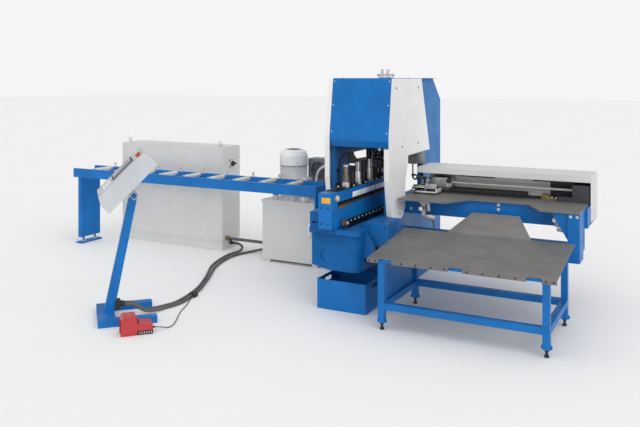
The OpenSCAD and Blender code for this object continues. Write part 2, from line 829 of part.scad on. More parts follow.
// Oil cooler box standing on the tank lid.
module oil_cooler() color([0.3, 0.3, 0.31]) {
  difference() {
    box(cool_x, cool_y, tank_h, cool_x + cool_w, cool_y + cool_d, tank_h + cool_h);
    rod_y(cool_x + cool_w / 2, cool_y - 1, cool_y + 20, tank_h + cool_h - 120, 170);
  }
}

// Console stand in its own axes: floor bars, cross bar, leaning post and eye.
module stand_axes() {
  translate([stand_x, stand_y, 0])
    rotate([0, 0, con_turn])
      children();
}

// Floor frame and leaning post of the console.
module console_stand() color(blue) {
  stand_axes() {
    for (y = [-bar_y, bar_y - bar_w])
      box(bar_x0, y, 0, bar_x1, y + bar_w, bar_z);
    box(bar_x0, -bar_y + bar_w - e, 0, 44, bar_y - bar_w + e, bar_z);
    along_y(-30, 30)
      polygon([[-38, bar_z - e], [40, bar_z - e], [pivot_x + 22, pivot_z - 40],
        [pivot_x - 44, pivot_z - 40]]);
    rod_y(pivot_x, -30, 30, pivot_z, pivot_head);
    along_y(-30, 30)
      polygon([[pivot_x - 44, pivot_z - 41], [pivot_x + 22, pivot_z - 41],
        [pivot_x + pivot_head / 2, pivot_z], [pivot_x - pivot_head / 2, pivot_z]]);
    rod_y(pivot_x, -52, 52, pivot_z, pivot_d);
  }
}

// Move into the console slope axes: first axis up the slope, third axis out of the panel.
module console_axes() {
  stand_axes()
    translate([pivot_x, 0, pivot_z])
      rotate([0, -con_tilt, 0])
        children();
}

// Console housing with hinge lugs and a button seat.
module console_box() color(white) {
  console_axes() {
    difference() {
      translate([con_mid, 0, con_n])
        along_y(-con_w / 2, con_w / 2)
          polygon([[-con_len / 2, -con_t / 2], [con_len / 2, -con_t / 2], [con_len / 2, con_t / 2 - 12],
            [con_len / 2 - 12, con_t / 2], [-con_len / 2 + 34, con_t / 2], [-con_len / 2, con_t / 2 - 58]]);
      translate([con_mid, 0, con_n])
        box(-con_len / 2 + 40, -con_w / 2 + 4, -con_t / 2 + 4,
          con_len / 2 - 16, con_w / 2 - 4, con_t / 2 - 20);
      box(con_top - 64, -con_w / 2 + 36, con_n + con_t / 2 - 14, con_top - 36, -con_w / 2 + 64,
        con_n + con_t / 2 + 1);
    }
    for (y = [-44, 32])
      difference() {
        box(-28, y, -28, 28, y + 12, con_n - con_t / 2 + e);
        rod_y(0, y - 1, y + 13, 0, pivot_d + 2 * run_c);
      }
  }
}

// Mushroom stop button with its square stem.
module estop_button() color(red) {
  console_axes()
    translate([con_top - 50, -con_w / 2 + 50, con_n + con_t / 2]) {
      box(-14 + gap, -14 + gap, -8, 14 - gap, 14 - gap, 9);
      translate([0, 0, 8])
        cylinder(h = 18, d = 42);
    }
}

// Move into the foot switch axes: first axis from the open hood to the cable end.
module foot_axes() {
  translate([foot_x, foot_y, 0])
    rotate([0, 0, foot_turn])
      children();
}

// Foot switch: base, rear housing and protective hood open to the front.
module foot_switch_body() color(red) {
  foot_axes() {
    difference() {
      along_y(-foot_w / 2, foot_w / 2)
        polygon([[0, 0], [foot_l, 0], [foot_l, foot_h - 10], [hood_l + 10, foot_h], [hood_l, hood_h],
          [20, hood_h], [0, hood_h - 25]]);
      along_y(-foot_w / 2 + 6, foot_w / 2 - 6)
        polygon([[-1, 12], [hood_l + 30, 12], [hood_l + 30, foot_h - 14], [hood_l - 6, hood_h - 7],
          [22, hood_h - 7], [-1, hood_h - 33]]);
    }
    rod_y(hinge_x, -foot_w / 2 + 5, foot_w / 2 - 5, hinge_z, 10);
  }
}

// Pedal on its hinge pin.
module foot_pedal() color(dark) {
  foot_axes()
    difference() {
      union() {
        rod_y(hinge_x, -foot_w / 2 + 10, foot_w / 2 - 10, hinge_z, 24);
        along_y(-foot_w / 2 + 12, foot_w / 2 - 12)
          polygon([[hinge_x - 2, hinge_z - 10], [hinge_x, hinge_z + 10], [18, hinge_z + 16],
            [16, hinge_z + 8]]);
      }
      rod_y(hinge_x, -foot_w / 2, foot_w / 2, hinge_z, 10 + 2 * run_c);
    }
}

// Scrap bin with hand slots.
module scrap_bin() color(blue) {
  x1 = bin_x0 + bin_w;
  difference() {
    box(bin_x0, bin_y0, 0, x1, bin_y0 + bin_d, bin_h);
    box(bin_x0 + 3, bin_y0 + 3, 3, x1 - 3, bin_y0 + bin_d - 3, bin_h + 1);
    box(bin_x0 - 1, bin_y0 + bin_d / 2 - 60, bin_h - 60, x1 + 1, bin_y0 + bin_d / 2 + 60, bin_h - 25);
  }
}

// Smooth point on a route between points k and k + 1.
function bend(p, k, t) =
  let (a = p[max(k - 1, 0)], b = p[k], c = p[k + 1], d = p[min(k + 2, len(p) - 1)])
  0.5 * (2 * b + (c - a) * t + (2 * a - 5 * b + 4 * c - d) * t * t + (3 * b - a - 3 * c + d) * t * t * t);
function lifted(v, low) = [v[0], v[1], max(v[2], low)];
function route(p, n, low) =
  concat([for (k = [0 : len(p) - 2]) for (j = [0 : n - 1]) lifted(bend(p, k, j / n), low)], [p[len(p) - 1]]);

// Round tube swept along a route.
module tube_on(r, d, sides) {
  n = len(r);
  dirs = [for (i = [0 : n - 1]) unit(r[min(i + 1, n - 1)] - r[max(i - 1, 0)])];
  rights = [for (v = dirs) unit(abs(v[2]) > 0.97 ? cross(v, [0, 1, 0]) : cross(v, [0, 0, 1]))];
  pts = [for (i = [0 : n - 1]) for (j = [0 : sides - 1])
    r[i] + d / 2 * (cos(360 * j / sides) * rights[i] + sin(360 * j / sides) * cross(rights[i], dirs[i]))];
  ends = [[for (j = [0 : sides - 1]) j], [for (j = [sides - 1 : -1 : 0]) (n - 1) * sides + j]];
  walls = [for (i = [0 : n - 2]) for (j = [0 : sides - 1])
    [i * sides + j, (i + 1) * sides + j, (i + 1) * sides + (j + 1) % sides, i * sides + (j + 1) % sides]];
  polyhedron(points = pts, faces = concat(ends, walls), convexity = 8);
}

gland_l = 40;
plinth_in = 10;
lie = conduit_d / 2 + 1;
cab_gland = [cab_x1 + gland_l, 470, 60];
tank_gland = [tank_x0 - gland_l, 560, 60];
post_gland = [124, 26, 105];
turn_c = cos(con_turn);
turn_s = sin(con_turn);
function stand_point(p) =
  [stand_x + p[0] * turn_c - p[1] * turn_s, stand_y + p[0] * turn_s + p[1] * turn_c, p[2]];
function foot_point(x, z) = [foot_x + x * cos(foot_turn), foot_y + x * sin(foot_turn), z];
tee_turn = -77.2;
tee_at = [-1273, -1230, 17];
route_a = [cab_gland, cab_gland + [70, -4, -3], [-1850, 424, 38], [-1820, 320, 18], [-1835, 100, lie],
  [-1730, -300, lie], [-1510, -720, lie], [-1350, -1080, lie], [-1270, -1440, lie], [-1300, -1610, lie],
  stand_point(post_gland + [165, 0, -68]), stand_point(post_gland + [67, 0, -8]), stand_point(post_gland)];
route_b = [tank_gland, tank_gland + [-65, 0, -3], [-1600, 520, 30], [-1700, 380, lie], [-1765, 90, lie],
  [-1680, -300, lie], [-1475, -720, lie], [-1330, -1040, lie], tee_at - [0, 0, 3], [-1225, -1450, lie],
  [-1255, -1630, lie],
  stand_point(post_gland + [170, -52, -68]), stand_point(post_gland + [67, -52, -8]),
  stand_point(post_gland + [0, -52, 0])];
cable_lie = cable_d / 2 + 0.5;
tee_fwd = [cos(tee_turn), sin(tee_turn), 0];
tee_out = [-sin(tee_turn), cos(tee_turn), 0];
cable_in = [45, 27, -5];
cable_end = tee_at + cable_in[0] * tee_fwd + cable_in[1] * tee_out + [0, 0, cable_in[2]];
route_c = [foot_point(foot_l + 22, 30), foot_point(foot_l + 62, 24), [-930, -1985, 8],
  [-940, -1910, cable_lie], [-990, -1810, cable_lie], [-1085, -1640, cable_lie], [-1160, -1460, cable_lie],
  cable_end + 70 * tee_fwd - [0, 0, 5], cable_end];
hose_foot = [-900, 400, tank_h + 34];
hose_head = [-half_w - 40, 400, 980];
route_h = [hose_foot, hose_foot + [0, 0, 60], [-900, 400, 850], [-868, 400, 955], [-780, 400, 1010],
  [-640, 400, 1015], [-480, 400, 992], hose_head - [60, 0, -3], hose_head];

// First floor conduit, cabinet to console post.
module conduit_a() color(grey) {
  tube_on(route(route_a, 2, lie), conduit_d, 10);
}

// Second floor conduit, hydraulic unit to console post.
module conduit_b() color(grey) {
  tube_on(route(route_b, 2, lie), conduit_d, 10);
}

// White pressure hose, hydraulic unit to press.
module pressure_hose() color(white) {
  tube_on(route(route_h, 2, lie), hose_d, 10);
}

// Pedal cable, foot switch to the conduit clip.
module pedal_cable() color(grey) {
  tube_on(route(route_c, 2, cable_lie), cable_d, 8);
}

// Screwed cable glands.
module gland(d, l) {
  cylinder(h = l * 0.4, d = d + 16, $fn = 6);
  cylinder(h = l, d = d + 8);
}

// Glands at cabinet, tank, press, console post and foot switch, and the clip where the cable joins.
module conduit_glands() color(dark) {
  translate([cab_x1 - plinth_in, cab_gland[1], cab_gland[2]])
    rotate([0, 90, 0])
      gland(conduit_d, gland_l + plinth_in);
  translate(tee_at)
    rotate([0, 0, tee_turn]) {
      box(-30, -20, 0.3 - tee_at[2], 30, cable_in[1] + 10, 20);
      translate([28, cable_in[1], cable_in[2]])
        rotate([0, 90, 0])
          cylinder(h = cable_in[0] - 28, d = cable_d + 8);
    }
  translate([tank_x0, tank_gland[1], tank_gland[2]])
    rotate([0, -90, 0])
      gland(conduit_d, gland_l);
  translate(foot_point(foot_l, 30))
    rotate([0, 90, foot_turn])
      gland(cable_d, 22);
  translate([hose_foot[0], hose_foot[1], tank_h])
    gland(hose_d, hose_foot[2] - tank_h);
  translate([-half_w, hose_head[1], hose_head[2]])
    rotate([0, -90, 0])
      gland(hose_d, -half_w - hose_head[0]);
  stand_axes() {
    box(46, -46, post_gland[2] - 34, post_gland[0] - gland_l + 6, 46, post_gland[2] + 34);
    for (y = [-26, 26])
      translate([post_gland[0] - gland_l + 4, y, post_gland[2]])
        rotate([0, 90, 0])
          gland(conduit_d, gland_l - 4);
  }
}

// Feed carriage: block on the rod, arm over the table, two clamp rods and the lower jaw.
module feed_carriage() color(steel) {
  cx = guide_x0 + 60;
  difference() {
    union() {
      box(cx, rod_y - 40, rod_z - 42, cx + 190, guide_y0 - gap, rod_z + 42);
      box(cx, -75, rod_z - 42, cx + 110, rod_y - 39, rod_z + 4);
    }
    rod_x(cx - 1, cx + 191, rod_y, rod_z, rod_d + 2 * run_c);
  }
  for (y = [-62, 42])
    rod_x(table_x0 + 44, cx + e, y, jaw_z, 14);
  rod_y(table_x0 + 50, -69, 49, jaw_z, 14);
  rod_y(jaw_x, -62, 42, jaw_z, jaw_pin);
  box(jaw_x + 20, -68, pass_z - 11, jaw_x + 30, 48, jaw_z + 6);
  box(table_x0 + 10, -40, pass_z - 11, jaw_x + 21, 22, pass_z - 1);
}

// Upper clamp jaw with its hand lever, hinged on the carriage pin.
module clamp_jaw() color(dark) {
  difference() {
    union() {
      box(table_x0 + 14, -40, pass_z + 20, jaw_x, 22, jaw_z - 11);
      rod_y(jaw_x, -50, 30, jaw_z, 30);
      box(jaw_x - 6, -16, jaw_z, jaw_x + 6, 0, jaw_z + 62);
      rod_y(jaw_x, -24, 8, jaw_z + 66, 28);
    }
    rod_y(jaw_x, -60, 40, jaw_z, jaw_pin + 2 * run_c);
  }
}

module punch_1() color(steel) { punch(1); }
module punch_2() color(steel) { punch(2); }
module punch_3() color(steel) { punch(3); }
module punch_4() color(steel) { punch(4); }
module punch_5() color(steel) { punch(5); }
module punch_6() color(steel) { punch(6); }
module punch_7() color(steel) { punch(7); }
module roller_1() color(steel) { roller(1); }
module roller_2() color(steel) { roller(2); }
module roller_3() color(steel) { roller(3); }
module roller_4() color(steel) { roller(4); }
module roller_5() color(steel) { roller(5); }
module roller_6() color(steel) { roller(6); }
module roller_7() color(steel) { roller(7); }
module roller_8() color(steel) { roller(8); }
module roller_9() color(steel) { roller(9); }

press_frame();
base_housing();
front_panel();
cladding_left();
cladding_right();
top_fitting();
ram_cylinder();
bar_sensor();
magazine_chain();
feed_frame();
feed_table();
feed_guide();
feed_cover();
feed_motor();
chain_tray();
air_units();
outfeed_frame();
outfeed_sheet();
outfeed_feet();
conveyor_frame();
cabinet();
lifting_eyes();
tank();
pump_motor();
oil_cooler();
console_stand();
foot_switch_body();
scrap_bin();
conduit_a();
conduit_b();
pressure_hose();
pedal_cable();
conduit_glands();
ram();
magazine();
tool_rail();
die_plate();
punch_1();
punch_2();
punch_3();
punch_4();
punch_5();
punch_6();
punch_7();
sprocket();
feed_carriage();
clamp_jaw();
roller_1();
roller_2();
roller_3();
roller_4();
roller_5();
roller_6();
roller_7();
roller_8();
roller_9();
console_box();
estop_button();
main_switch();
foot_pedal();
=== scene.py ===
"""Looks of a flat bar punching line: finishes, cords, fittings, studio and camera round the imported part."""

import logging
import math
from dataclasses import dataclass, replace
from enum import Enum
from functools import cache
from typing import Iterable, Sequence

import bmesh
import bpy
import numpy as np
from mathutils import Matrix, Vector


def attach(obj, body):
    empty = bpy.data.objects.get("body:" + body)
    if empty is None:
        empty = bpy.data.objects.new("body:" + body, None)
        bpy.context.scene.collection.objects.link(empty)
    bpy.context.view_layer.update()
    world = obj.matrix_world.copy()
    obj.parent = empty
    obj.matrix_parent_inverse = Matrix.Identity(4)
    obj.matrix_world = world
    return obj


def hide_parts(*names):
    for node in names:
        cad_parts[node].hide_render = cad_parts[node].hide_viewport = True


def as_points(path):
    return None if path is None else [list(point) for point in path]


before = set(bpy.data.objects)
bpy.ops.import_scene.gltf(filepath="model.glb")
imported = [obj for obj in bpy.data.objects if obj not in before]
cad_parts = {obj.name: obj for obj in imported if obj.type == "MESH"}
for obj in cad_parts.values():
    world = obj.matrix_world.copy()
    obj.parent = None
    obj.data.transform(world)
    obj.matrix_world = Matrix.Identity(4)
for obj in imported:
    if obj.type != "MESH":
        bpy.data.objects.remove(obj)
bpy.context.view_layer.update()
LOG = logging.getLogger("punching_line")
LINE = "line"
SMOOTH_ANGLE = math.radians(35)
WELD = 1e-6
SUNK = -0.001
ORIGIN, UP = (0, 0, 0), (0, 0, 1)
LEFT, RIGHT = (-1, 0, 0), (1, 0, 0)
FRONT, BACK = (0, -1, 0), (0, 1, 0)
Vec = Sequence[float]
Point = tuple[float, float, float]
Pair = tuple[float, float]
Pairs = tuple[Pair, ...]
Rgb = tuple[int, int, int]
Tree = bpy.types.NodeTree
Socket = bpy.types.NodeSocket


def basis(direction: Vec) -> np.ndarray:
    """Right-handed rows: two cross directions, then the direction itself.

    Args:
        direction: The way the third row points; it need not be a unit vector.

    Returns:
        A (3, 3) array of unit rows.
    """
    along = np.asarray(direction, float) / np.linalg.norm(direction)
    helper = BACK if abs(along[2]) > 0.9 else UP
    across = np.cross(helper, along)
    across /= np.linalg.norm(across)
    return np.stack([across, np.cross(along, across), along])


def circle(sides: int) -> np.ndarray:
    """Angles evenly spread over a full turn."""
    return np.linspace(0, 2 * np.pi, sides, endpoint=False)


def points_of(*axes: np.ndarray) -> np.ndarray:
    """Points from arrays of their coordinates, which are spread to one shape."""
    return np.stack(np.broadcast_arrays(*axes), -1)


def lattice(x: float | Vec, y: float | Vec, z: float | Vec) -> np.ndarray:
    """Every point with one of the x, y and z values each; a lone number is a list of one."""
    return np.stack(np.meshgrid(x, y, z, indexing="ij"), -1).reshape(-1, 3)


@dataclass
class Shape:
    """Points and faces of a surface before it becomes a piece; each block of faces has one corner count."""

    points: np.ndarray
    faces: list[np.ndarray]

    def moved(self, offset: Vec) -> "Shape":
        """The same shape, shifted by the offset."""
        return Shape(self.points + np.asarray(offset, float), self.faces)

    def turned(self, rows: np.ndarray, origin: Vec = ORIGIN) -> "Shape":
        """The shape read in other axes: each point's three numbers weigh the rows, from the origin."""
        return Shape(self.points @ rows + np.asarray(origin, float), self.faces)

    def repeated(self, offsets: Iterable[Vec]) -> "Shape":
        """Copies of the shape, one at each offset.

        Args:
            offsets: Shifts of the copies, in metres.

        Returns:
            One shape that holds all the copies.
        """
        shifts = np.asarray(list(offsets), float).reshape(-1, 3)
        points = (self.points[None] + shifts[:, None]).reshape(-1, 3)
        step = (np.arange(len(shifts)) * len(self.points))[:, None, None]
        return Shape(points, [(f[None] + step).reshape(-1, f.shape[1]) for f in self.faces])


@dataclass(frozen=True)
class Place:
    """A spot with axes of its own, turned about the upright by an angle in degrees."""

    origin: Point
    degrees: float

    def rows(self) -> np.ndarray:
        """Rows of the turned axes."""
        c, s = math.cos(math.radians(self.degrees)), math.sin(math.radians(self.degrees))
        return np.array([(c, s, 0), (-s, c, 0), UP])

    def at(self, *point: float) -> np.ndarray:
        """The place of a point that is given in these axes."""
        return np.asarray(point) @ self.rows() + np.asarray(self.origin, float)


STAND = Place((-1.515, -2.01, 0), 46)
SWITCH = Place((-1.158, -2.266, 0), 48)
TEE = Place((-1.273, -1.23, 0.017), -77.2)


def joined(shapes: Iterable[Shape]) -> Shape:
    """Several shapes as one, with the face numbers of each shifted past the points before it.

    Args:
        shapes: The shapes, in order.

    Returns:
        One shape that holds them all.
    """
    parts = list(shapes)
    starts = np.cumsum([0] + [len(s.points) for s in parts])
    faces = [f + start for s, start in zip(parts, starts) for f in s.faces]
    return Shape(np.concatenate([s.points for s in parts]), faces)


def grid(points: np.ndarray, wrap: bool = True) -> Shape:
    """Quads between neighbours of a point grid; a wrapped grid closes its columns and caps its end rows.

    Args:
        points: A (rows, columns, 3) array, columns anticlockwise as seen along the rows' way.
        wrap: Whether the last column joins the first.

    Returns:
        The surface, facing outwards.
    """
    rows, columns = points.shape[:2]
    i, j = np.meshgrid(np.arange(rows - 1), np.arange(columns if wrap else columns - 1), indexing="ij")
    k = (j + 1) % columns
    corners = (i * columns + j, i * columns + k, (i + 1) * columns + k, (i + 1) * columns + j)
    faces = [np.stack(corners, -1).reshape(-1, 4)]
    if wrap:
        end = np.arange(columns)
        faces.append(np.stack([end[::-1], end + (rows - 1) * columns]))
    return Shape(points.reshape(-1, 3), faces)


def lathe(profile: Sequence[Vec], direction: Vec, centre: Vec = ORIGIN, sides: int = 24) -> Shape:
    """Turned shape: a profile spun about an axis, (r cos t, r sin t, h) for each angle t.

    Args:
        profile: Pairs of radius and height, in order along the axis.
        direction: The axis.
        centre: The point of the axis at height 0.
        sides: How many angles t there are.

    Returns:
        The closed surface.
    """
    radius, height = np.asarray(profile, float).T[:, :, None]
    turn = circle(sides)
    local = points_of(radius * np.cos(turn), radius * np.sin(turn), height)
    return grid(local @ basis(direction) + np.asarray(centre, float))


def turned_ring(profile: Sequence[Vec], direction: Vec, centre: Vec = ORIGIN, sides: int = 28) -> Shape:
    """Hollow turned shape: a closed profile spun about an axis, with no end caps.

    Args:
        profile: Pairs of radius and height round the section, the last joined to the first.
        direction: The axis.
        centre: The point of the axis at height 0.
        sides: How many angles there are.

    Returns:
        The closed surface.
    """
    spun = lathe([*profile, profile[0]], direction, centre, sides)
    return Shape(spun.points, spun.faces[:1])


def tube(path: np.ndarray, radius: float | np.ndarray, sides: int = 12, up: Vec = UP) -> Shape:
    """Round section carried along a path, its radius constant or given for each point of the path.

    Args:
        path: A (points, 3) array.
        radius: One radius, or one for each point.
        sides: Corners of the section.
        up: A direction that the path never follows.

    Returns:
        The closed tube.
    """
    line = np.asarray(path, float)
    along = np.gradient(line, axis=0)
    along /= np.linalg.norm(along, axis=1, keepdims=True)
    right = np.cross(np.asarray(up, float), along)
    right /= np.linalg.norm(right, axis=1, keepdims=True)
    top = np.cross(along, right)
    turn = circle(sides)[:, None]
    section = np.cos(turn) * right[:, None] + np.sin(turn) * top[:, None]
    size = np.broadcast_to(np.asarray(radius, float), len(line))[:, None, None]
    return grid(line[:, None] + size * section)


def slab(low: Vec, high: Vec, radius: float = 0.003, steps: int = 2) -> Shape:
    """Block with rounded edges: a sphere's normals n, each octant at its corner plus radius times n.

    Args:
        low: Lowest corner.
        high: Highest corner.
        radius: Edge radius, at most just under half the thinnest side.
        steps: Facets in a quarter turn of the edge.

    Returns:
        The closed surface, with doubled points on its flats.
    """
    a, b = np.asarray(low, float), np.asarray(high, float)
    half = (b - a) / 2
    edge = min(radius, 0.999 * half.min())
    quarter = np.linspace(0, np.pi / 2, steps + 1)
    turn = (quarter + np.arange(4)[:, None] * np.pi / 2).ravel()
    rise = np.concatenate([quarter - np.pi / 2, quarter])[:, None]
    normal = points_of(np.cos(rise) * np.cos(turn), np.cos(rise) * np.sin(turn), np.sin(rise))
    middle = np.repeat(np.pi / 4 + np.arange(4) * np.pi / 2, steps + 1)
    side = np.repeat([-1.0, 1.0], steps + 1)[:, None]
    corner = points_of(np.sign(np.cos(middle)), np.sign(np.sin(middle)), side)
    return grid((a + b) / 2 + corner * (half - edge) + edge * normal)


def plate(outline: Sequence[Vec], direction: Vec, origin: Vec, thick: float) -> Shape:
    """Flat plate: an outline in the two cross directions, carried by its thickness along the third.

    Args:
        outline: Anticlockwise corner pairs in the cross directions of basis(direction).
        direction: The way the thickness goes.
        origin: Where the outline's (0, 0) lies.
        thick: Thickness.

    Returns:
        The closed prism.
    """
    flat = np.asarray(outline, float)
    local = points_of(flat[:, 0], flat[:, 1], np.array([[0.0], [thick]]))
    return grid(local @ basis(direction) + np.asarray(origin, float))


def smooth_route(points: Sequence[Vec], steps: int, low: float) -> np.ndarray:
    """Catmull-Rom curve through the points, kept above a lowest height.

    Args:
        points: Route points, in metres.
        steps: Curve points for each stretch.
        low: Lowest height of the centre line.

    Returns:
        The curve as a (n, 3) array.
    """
    p = np.asarray(points, float)
    p = np.concatenate([p[:1], p, p[-1:]])[:, None]
    t = np.linspace(0, 1, steps, endpoint=False)[None, :, None]
    a, b, c, d = p[:-3], p[1:-2], p[2:-1], p[3:]
    square, cube = 2 * a - 5 * b + 4 * c - d, 3 * b - a - 3 * c + d
    curve = 0.5 * (2 * b + (c - a) * t + square * t**2 + cube * t**3)
    line = np.concatenate([curve.reshape(-1, 3), p[-1]])
    line[:, 2] = np.maximum(line[:, 2], low)
    return line


def evenly(line: np.ndarray, pitch: float) -> np.ndarray:
    """The same line with its points evenly spread along its length.

    Args:
        line: A (points, 3) array.
        pitch: Distance between points, which is rounded so that the last falls on the end.

    Returns:
        The new points.
    """
    run = np.concatenate([[0], np.cumsum(np.linalg.norm(np.diff(line, axis=0), axis=1))])
    at = np.linspace(0, run[-1], max(2, round(run[-1] / pitch) + 1))
    return np.stack([np.interp(at, run, line[:, i]) for i in range(3)], 1)


def length_of(line: np.ndarray) -> float:
    """Length of a line of points."""
    return float(np.linalg.norm(np.diff(line, axis=0), axis=1).sum())


def srgb(colour: Vec) -> tuple[float, float, float, float]:
    """Display values of 0 to 255 as the linear colour that a shader takes.

    Args:
        colour: Red, green and blue.

    Returns:
        The linear colour with full alpha.
    """
    c = np.asarray(colour, float) / 255
    linear = np.where(c <= 0.04045, c / 12.92, ((c + 0.055) / 1.055) ** 2.4)
    return (*linear.tolist(), 1.0)


def shade(colour: Vec, share: float) -> tuple[float, float, float, float]:
    """The linear colour of display values that are lowered to a share of themselves."""
    return srgb([round(c * share) for c in colour])


@dataclass(frozen=True)
class Nodes:
    """A shader tree, with short ways to add nodes to it; a value is a socket to link or a constant."""

    tree: Tree

    def feed(self, entry: Socket, value: object) -> None:
        """Gives an input a value.

        Args:
            entry: The input.
            value: A socket to link, or else a constant.
        """
        if isinstance(value, Socket):
            self.tree.links.new(value, entry)
        else:
            entry.default_value = value

    def add(self, kind: str, inputs: dict[str | int, object], **settings: object) -> bpy.types.Node:
        """A new node.

        Args:
            kind: Its kind, without the prefix that shader nodes share.
            inputs: Values of its inputs, by name or number.
            settings: Its settings.

        Returns:
            The node.
        """
        node = self.tree.nodes.new(f"ShaderNode{kind}")
        for setting, value in settings.items():
            setattr(node, setting, value)
        for entry, value in inputs.items():
            self.feed(node.inputs[entry], value)
        return node

    def calc(self, kind: str, a: object, b: object, clamp: bool = False) -> Socket:
        """The result of a sum on two values."""
        return self.add("Math", {0: a, 1: b}, operation=kind, use_clamp=clamp).outputs[0]

    def ramp(self, value: Socket, low: float, high: float) -> Socket:
        """A smooth step of a value, from 0 at low to 1 at high."""
        inputs = {"Value": value, "From Min": low, "From Max": high}
        return self.add("MapRange", inputs, interpolation_type="SMOOTHSTEP").outputs["Result"]

    def span(self, value: Socket, low: float, high: float) -> Socket:
        """A value of 0 to 1 spread from low to high."""
        return self.add("MapRange", {"Value": value, "To Min": low, "To Max": high}).outputs["Result"]

    def mix(self, factor: Socket, a: object, b: object) -> Socket:
        """Colour a where the factor is 0 and b where it is 1."""
        return self.add("Mix", {"Factor": factor, 6: a, 7: b}, data_type="RGBA").outputs[2]

    def noise(self, where: Socket, scale: object, detail: float, rough: float = 0.5) -> Socket:
        """Fractal noise at the coordinates."""
        inputs = {"Vector": where, "Scale": scale, "Detail": detail, "Roughness": rough}
        return self.add("TexNoise", inputs).outputs["Fac"]


class Effects:
    """Shader node groups that the finishes share; each is built at its first use and kept."""

    @staticmethod
    def _group(name: str, output: str, **inputs: str) -> tuple[Nodes, dict, Socket]:
        """A new group that reads coordinates and has one number as output.

        Args:
            name: The group's name.
            output: The output's name.
            inputs: Kinds of the inputs beside the coordinates.

        Returns:
            The group, the values that come in and the socket that goes out.
        """
        tree = bpy.data.node_groups.new(name, "ShaderNodeTree")
        for socket, kind in {"Vector": "Vector", **inputs}.items():
            tree.interface.new_socket(socket, in_out="INPUT", socket_type=f"NodeSocket{kind}")
        tree.interface.new_socket(output, in_out="OUTPUT", socket_type="NodeSocketFloat")
        given, result = tree.nodes.new("NodeGroupInput"), tree.nodes.new("NodeGroupOutput")
        return Nodes(tree), given.outputs, result.inputs[output]

    @classmethod
    @cache
    def patches(cls) -> Tree:
        """Soft cloudy patches: fractal noise of a given patch size, output from 0 to 1.

        Returns:
            The group.
        """
        nodes, given, result = cls._group("cloudy_patches", "Value", Size="Float")
        cloud = nodes.noise(given["Vector"], nodes.calc("DIVIDE", 1.0, given["Size"]), 5, 0.62)
        nodes.feed(result, nodes.ramp(cloud, 0.3, 0.72))
        return nodes.tree

    @classmethod
    @cache
    def grain(cls) -> Tree:
        """Fine orange-peel or cast grain: noise at the grain's size on a swell seven times coarser.

        Returns:
            The group.
        """
        nodes, given, result = cls._group("fine_grain", "Height", Size="Float")
        sizes = [nodes.calc("MULTIPLY", given["Size"], share) for share in (1.0, 7.0)]
        both = [nodes.noise(given["Vector"], nodes.calc("DIVIDE", 1.0, size), 2) for size in sizes]
        nodes.feed(result, nodes.calc("MULTIPLY", nodes.calc("ADD", *both), 0.5))
        return nodes.tree

    @classmethod
    @cache
    def edge_wear(cls) -> Tree:
        """Rubbed edges: how far a rounded normal leaves the face's own, broken up by noise.

        Returns:
            The group.
        """
        nodes, given, result = cls._group("edge_wear", "Mask", Width="Float", Amount="Float")
        rounded = nodes.add("Bevel", {"Radius": given["Width"]}, samples=4).outputs["Normal"]
        face = nodes.add("NewGeometry", {}).outputs["True Normal"]
        dot = nodes.add("VectorMath", {0: rounded, 1: face}, operation="DOT_PRODUCT").outputs["Value"]
        turned = nodes.ramp(nodes.calc("SUBTRACT", 1.0, dot), 0.02, 0.22)
        rubbed = nodes.calc("MULTIPLY", turned, nodes.ramp(nodes.noise(given["Vector"], 45, 4), 0.42, 0.66))
        nodes.feed(result, nodes.calc("MULTIPLY", rubbed, given["Amount"], True))
        return nodes.tree

    @classmethod
    @cache
    def dust(cls) -> Tree:
        """Settled dust: the part of a face that looks up, thinned by cloudy noise.

        Returns:
            The group.
        """
        nodes, given, result = cls._group("settled_dust", "Mask", Amount="Float")
        face = nodes.add("NewGeometry", {}).outputs["True Normal"]
        level = nodes.ramp(nodes.add("SeparateXYZ", {0: face}).outputs["Z"], 0.5, 0.95)
        lying = nodes.calc("MULTIPLY", level, nodes.ramp(nodes.noise(given["Vector"], 9, 6), 0.35, 0.75))
        nodes.feed(result, nodes.calc("MULTIPLY", lying, given["Amount"], True))
        return nodes.tree

    @classmethod
    @cache
    def strokes(cls) -> Tree:
        """Fine parallel marks: noise read through a vector that is stretched along one axis.

        Returns:
            The group.
        """
        nodes, given, result = cls._group("fine_strokes", "Value", Stretch="Vector")
        scaled = nodes.add("VectorMath", {0: given["Vector"], 1: given["Stretch"]}, operation="MULTIPLY")
        nodes.feed(result, nodes.noise(scaled.outputs[0], 1, 3))
        return nodes.tree


class Brush(Enum):
    """Way that the marks of a finish run; the value is the stretch of the noise, in marks for each metre."""

    NONE = (0, 0, 0)
    ALONG_X = (4, 700, 700)


